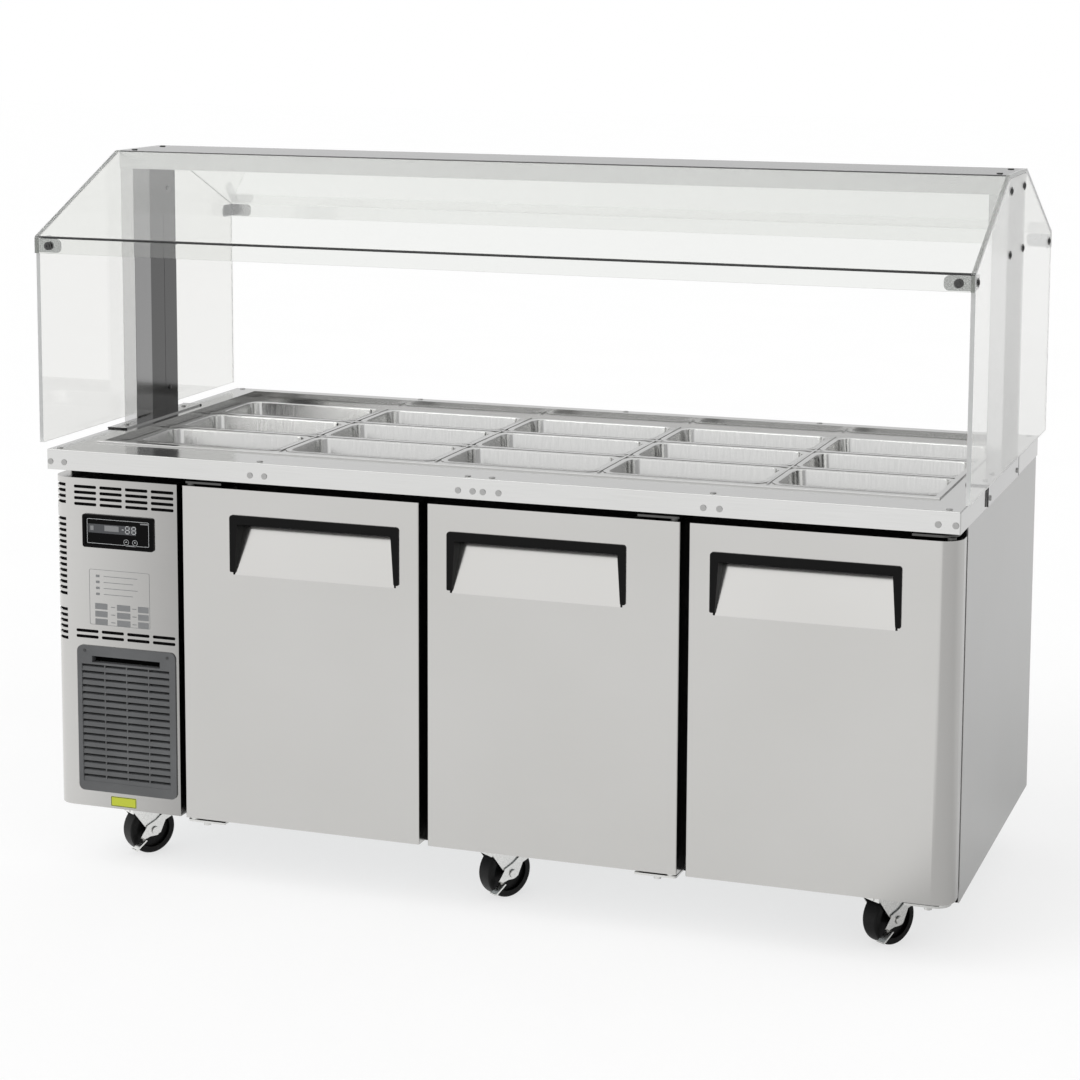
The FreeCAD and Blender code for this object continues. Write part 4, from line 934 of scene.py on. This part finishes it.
class SALADBAR_OT_sealant(Operator):
    """Model the black bead round the ends of the foot plates"""
    bl_idname = "salad_bar.sealant"
    bl_label = "Sealant beads"

    def execute(self, context):
        sizes, colours = settings(context)
        low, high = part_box("post_feet")
        worktop_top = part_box("worktop")[1].z
        plate_inner_x = high.x - 41 * MM
        black = moulded_plastic("silicone_sealant", colours.trim, grit=2.0, roughness=0.35)
        bead = sizes.sealant
        upright_bead = bead * 1.6
        start_mesh("sealant_beads")
        for side in (-1, 1):
            for end_y in (low.y, high.y):
                bead_y = end_y + math.copysign(bead, end_y) / 2
                rectangle(high.x - plate_inner_x + 2 * bead, bead, bead * 0.45, 2,
                          (side * (plate_inner_x + high.x) / 2, bead_y, worktop_top))
                bpy.ops.mesh.extrude_region_move(
                    TRANSFORM_OT_translate=shift(0, 0, high.z - worktop_top))
                bpy.ops.mesh.select_all(action="DESELECT")
                rectangle(upright_bead, bead, bead * 0.4, 2,
                          (side * (high.x - bead * 0.6), bead_y, low.z))
                bpy.ops.mesh.extrude_region_move(
                    TRANSFORM_OT_translate=shift(0, 0, worktop_top - low.z))
                bpy.ops.mesh.select_all(action="DESELECT")
        bpy.ops.mesh.select_all(action="SELECT")
        bpy.ops.mesh.normals_make_consistent(inside=False)
        done("sealant_beads", black, "cabinet")
        return {"FINISHED"}


class SALADBAR_OT_stage(Operator):
    """Set up the floor, the white surroundings, the lamps and the camera"""
    bl_idname = "salad_bar.stage"
    bl_label = "Studio"

    def execute(self, context):
        self.floor()
        self.surroundings(context)
        self.lamps()
        self.camera(context)
        context.scene.view_settings.view_transform = "Standard"
        return {"FINISHED"}

    def floor(self):
        """Pale floor that keeps the shadow, and meets the white behind it."""
        side = 60
        seen_white = 1.13
        near, far = 5.0, 9.0
        far_level = 1.3
        # The room's directions are taken from right of the middle here, so that no door mirrors its dark
        # side in the floor.
        dark_side_from = (0.55, 0, 0)
        white_share = 0.6
        deselect()
        bpy.ops.mesh.primitive_plane_add(size=side)
        floor = bpy.context.object
        floor.name = "studio_floor"
        material, tree = blank("white_studio_floor")
        scuffs = grains(tree, (400, 400, 400), 2.0)
        matt = add(tree, "ShaderNodeBsdfDiffuse",
                   {"Color": mottled(tree, scuffs, linear("#F2F2F2"), 0.99, 1.01)})
        ray = add(tree, "ShaderNodeLightPath")
        place = add(tree, "ShaderNodeTexCoord").outputs["Object"]
        distance = add(tree, "ShaderNodeVectorMath", {0: place}, operation="LENGTH").outputs["Value"]
        from_right = add(tree, "ShaderNodeVectorMath", {0: place, 1: dark_side_from},
                         operation="SUBTRACT").outputs["Vector"]
        reflected = calculate(tree, "MULTIPLY", room_level(tree, from_right),
                              remap(tree, distance, near, far, seen_white, far_level))
        white = add(tree, "ShaderNodeEmission",
                    {"Color": (1, 1, 1, 1),
                     "Strength": blend(tree, mirrored_in_metal(tree, ray), seen_white, reflected)})
        seen = calculate(tree, "MAXIMUM", ray.outputs["Is Camera Ray"], ray.outputs["Is Glossy Ray"])
        seen = calculate(tree, "MAXIMUM", seen, ray.outputs["Is Transmission Ray"])
        both = add(tree, "ShaderNodeMixShader", {"Fac": calculate(tree, "MULTIPLY", seen, white_share)})
        tree.links.new(matt.outputs["BSDF"], both.inputs[1])
        tree.links.new(white.outputs["Emission"], both.inputs[2])
        add(tree, "ShaderNodeOutputMaterial", {"Surface": both.outputs["Shader"]})
        floor.data.materials.append(material)

    def surroundings(self, context):
        """White to the eye and through the guard; metal reflects a room with a darker side."""
        ambient = 0.6
        ceiling_from, ceiling_full = 0.3, 0.7
        ceiling_level = 1.45
        world = bpy.data.worlds.new("white_studio")
        context.scene.world = world
        world.use_nodes = True
        tree = world.node_tree
        tree.nodes.clear()
        ray = add(tree, "ShaderNodeLightPath")
        direction = add(tree, "ShaderNodeTexCoord").outputs["Generated"]
        seen = calculate(tree, "MAXIMUM", ray.outputs["Is Camera Ray"], ray.outputs["Is Transmission Ray"])
        height = add(tree, "ShaderNodeSeparateXYZ", {"Vector": direction}).outputs["Z"]
        room = calculate(tree, "MULTIPLY", room_level(tree, direction),
                         remap(tree, height, ceiling_from, ceiling_full, 1.0, ceiling_level))
        level = blend(tree, mirrored_in_metal(tree, ray), blend(tree, seen, ambient, 1.0), room)
        light = add(tree, "ShaderNodeBackground", {"Color": (1, 1, 1, 1), "Strength": level})
        add(tree, "ShaderNodeOutputWorld", {"Surface": light.outputs["Background"]})

    def lamps(self):
        """Two wide, soft suns, a key from the front left and a weaker one, that make no highlights."""
        width = math.radians(50)
        for name, power, tilt, turn in (("key_lamp", 1.1, 48, -38), ("fill_lamp", 0.35, 55, 50)):
            deselect()
            bpy.ops.object.light_add(type="SUN", rotation=(math.radians(tilt), 0, math.radians(turn)))
            lamp = bpy.context.object
            lamp.name = name
            lamp.data.energy = power
            lamp.data.angle = width
            lamp.visible_glossy = False

    def camera(self, context):
        """Camera at the photograph's viewing angle, in metres and radians."""
        place = (1.71539, -4.96256, 1.75894)
        turn_left = 0.33753
        look_down = -0.12949
        roll = 0.00441
        focal_px = 2665.97
        image_px = 1080
        sensor_mm = 36.0
        centre_shift_px = -210
        deselect()
        bpy.ops.object.camera_add()
        camera = bpy.context.object
        camera.name = "photo_camera"
        turned = (Matrix.Rotation(turn_left, 4, "Z") @ Matrix.Rotation(math.pi / 2 + look_down, 4, "X")
                  @ Matrix.Rotation(roll, 4, "Z"))
        camera.matrix_world = Matrix.Translation(place) @ turned
        camera.data.sensor_width = sensor_mm
        camera.data.lens = focal_px / image_px * sensor_mm
        camera.data.shift_y = centre_shift_px / image_px
        camera.data.clip_end = 200
        context.scene.camera = camera


OPERATORS = (SALADBAR_OT_steel, SALADBAR_OT_plastics, SALADBAR_OT_guard, SALADBAR_OT_pans,
             SALADBAR_OT_controls, SALADBAR_OT_labels, SALADBAR_OT_screen, SALADBAR_OT_sealant,
             SALADBAR_OT_stage)


class SALADBAR_PT_panel(Panel):
    """Lists the steps in the order in which they run."""
    bl_idname = "SALADBAR_PT_panel"
    bl_label = "Salad bar"
    bl_space_type = "VIEW_3D"
    bl_region_type = "UI"
    bl_category = "Salad bar"

    def draw(self, context):
        for operator in OPERATORS:
            self.layout.operator(operator.bl_idname)


def register():
    """Registers the settings, the operators and the panel."""
    for cls in (SaladBarSizes, SaladBarColours) + OPERATORS + (SALADBAR_PT_panel,):
        bpy.utils.register_class(cls)
    bpy.types.Scene.salad_bar_sizes = PointerProperty(type=SaladBarSizes)
    bpy.types.Scene.salad_bar_colours = PointerProperty(type=SaladBarColours)


def unregister():
    """Removes them again."""
    del bpy.types.Scene.salad_bar_sizes
    del bpy.types.Scene.salad_bar_colours
    for cls in reversed((SaladBarSizes, SaladBarColours) + OPERATORS + (SALADBAR_PT_panel,)):
        bpy.utils.unregister_class(cls)


def main():
    """Runs every step in order."""
    register()
    for operator in OPERATORS:
        group, step = operator.bl_idname.split(".")
        getattr(getattr(bpy.ops, group), step)()


if __name__ == "__main__":
    main()
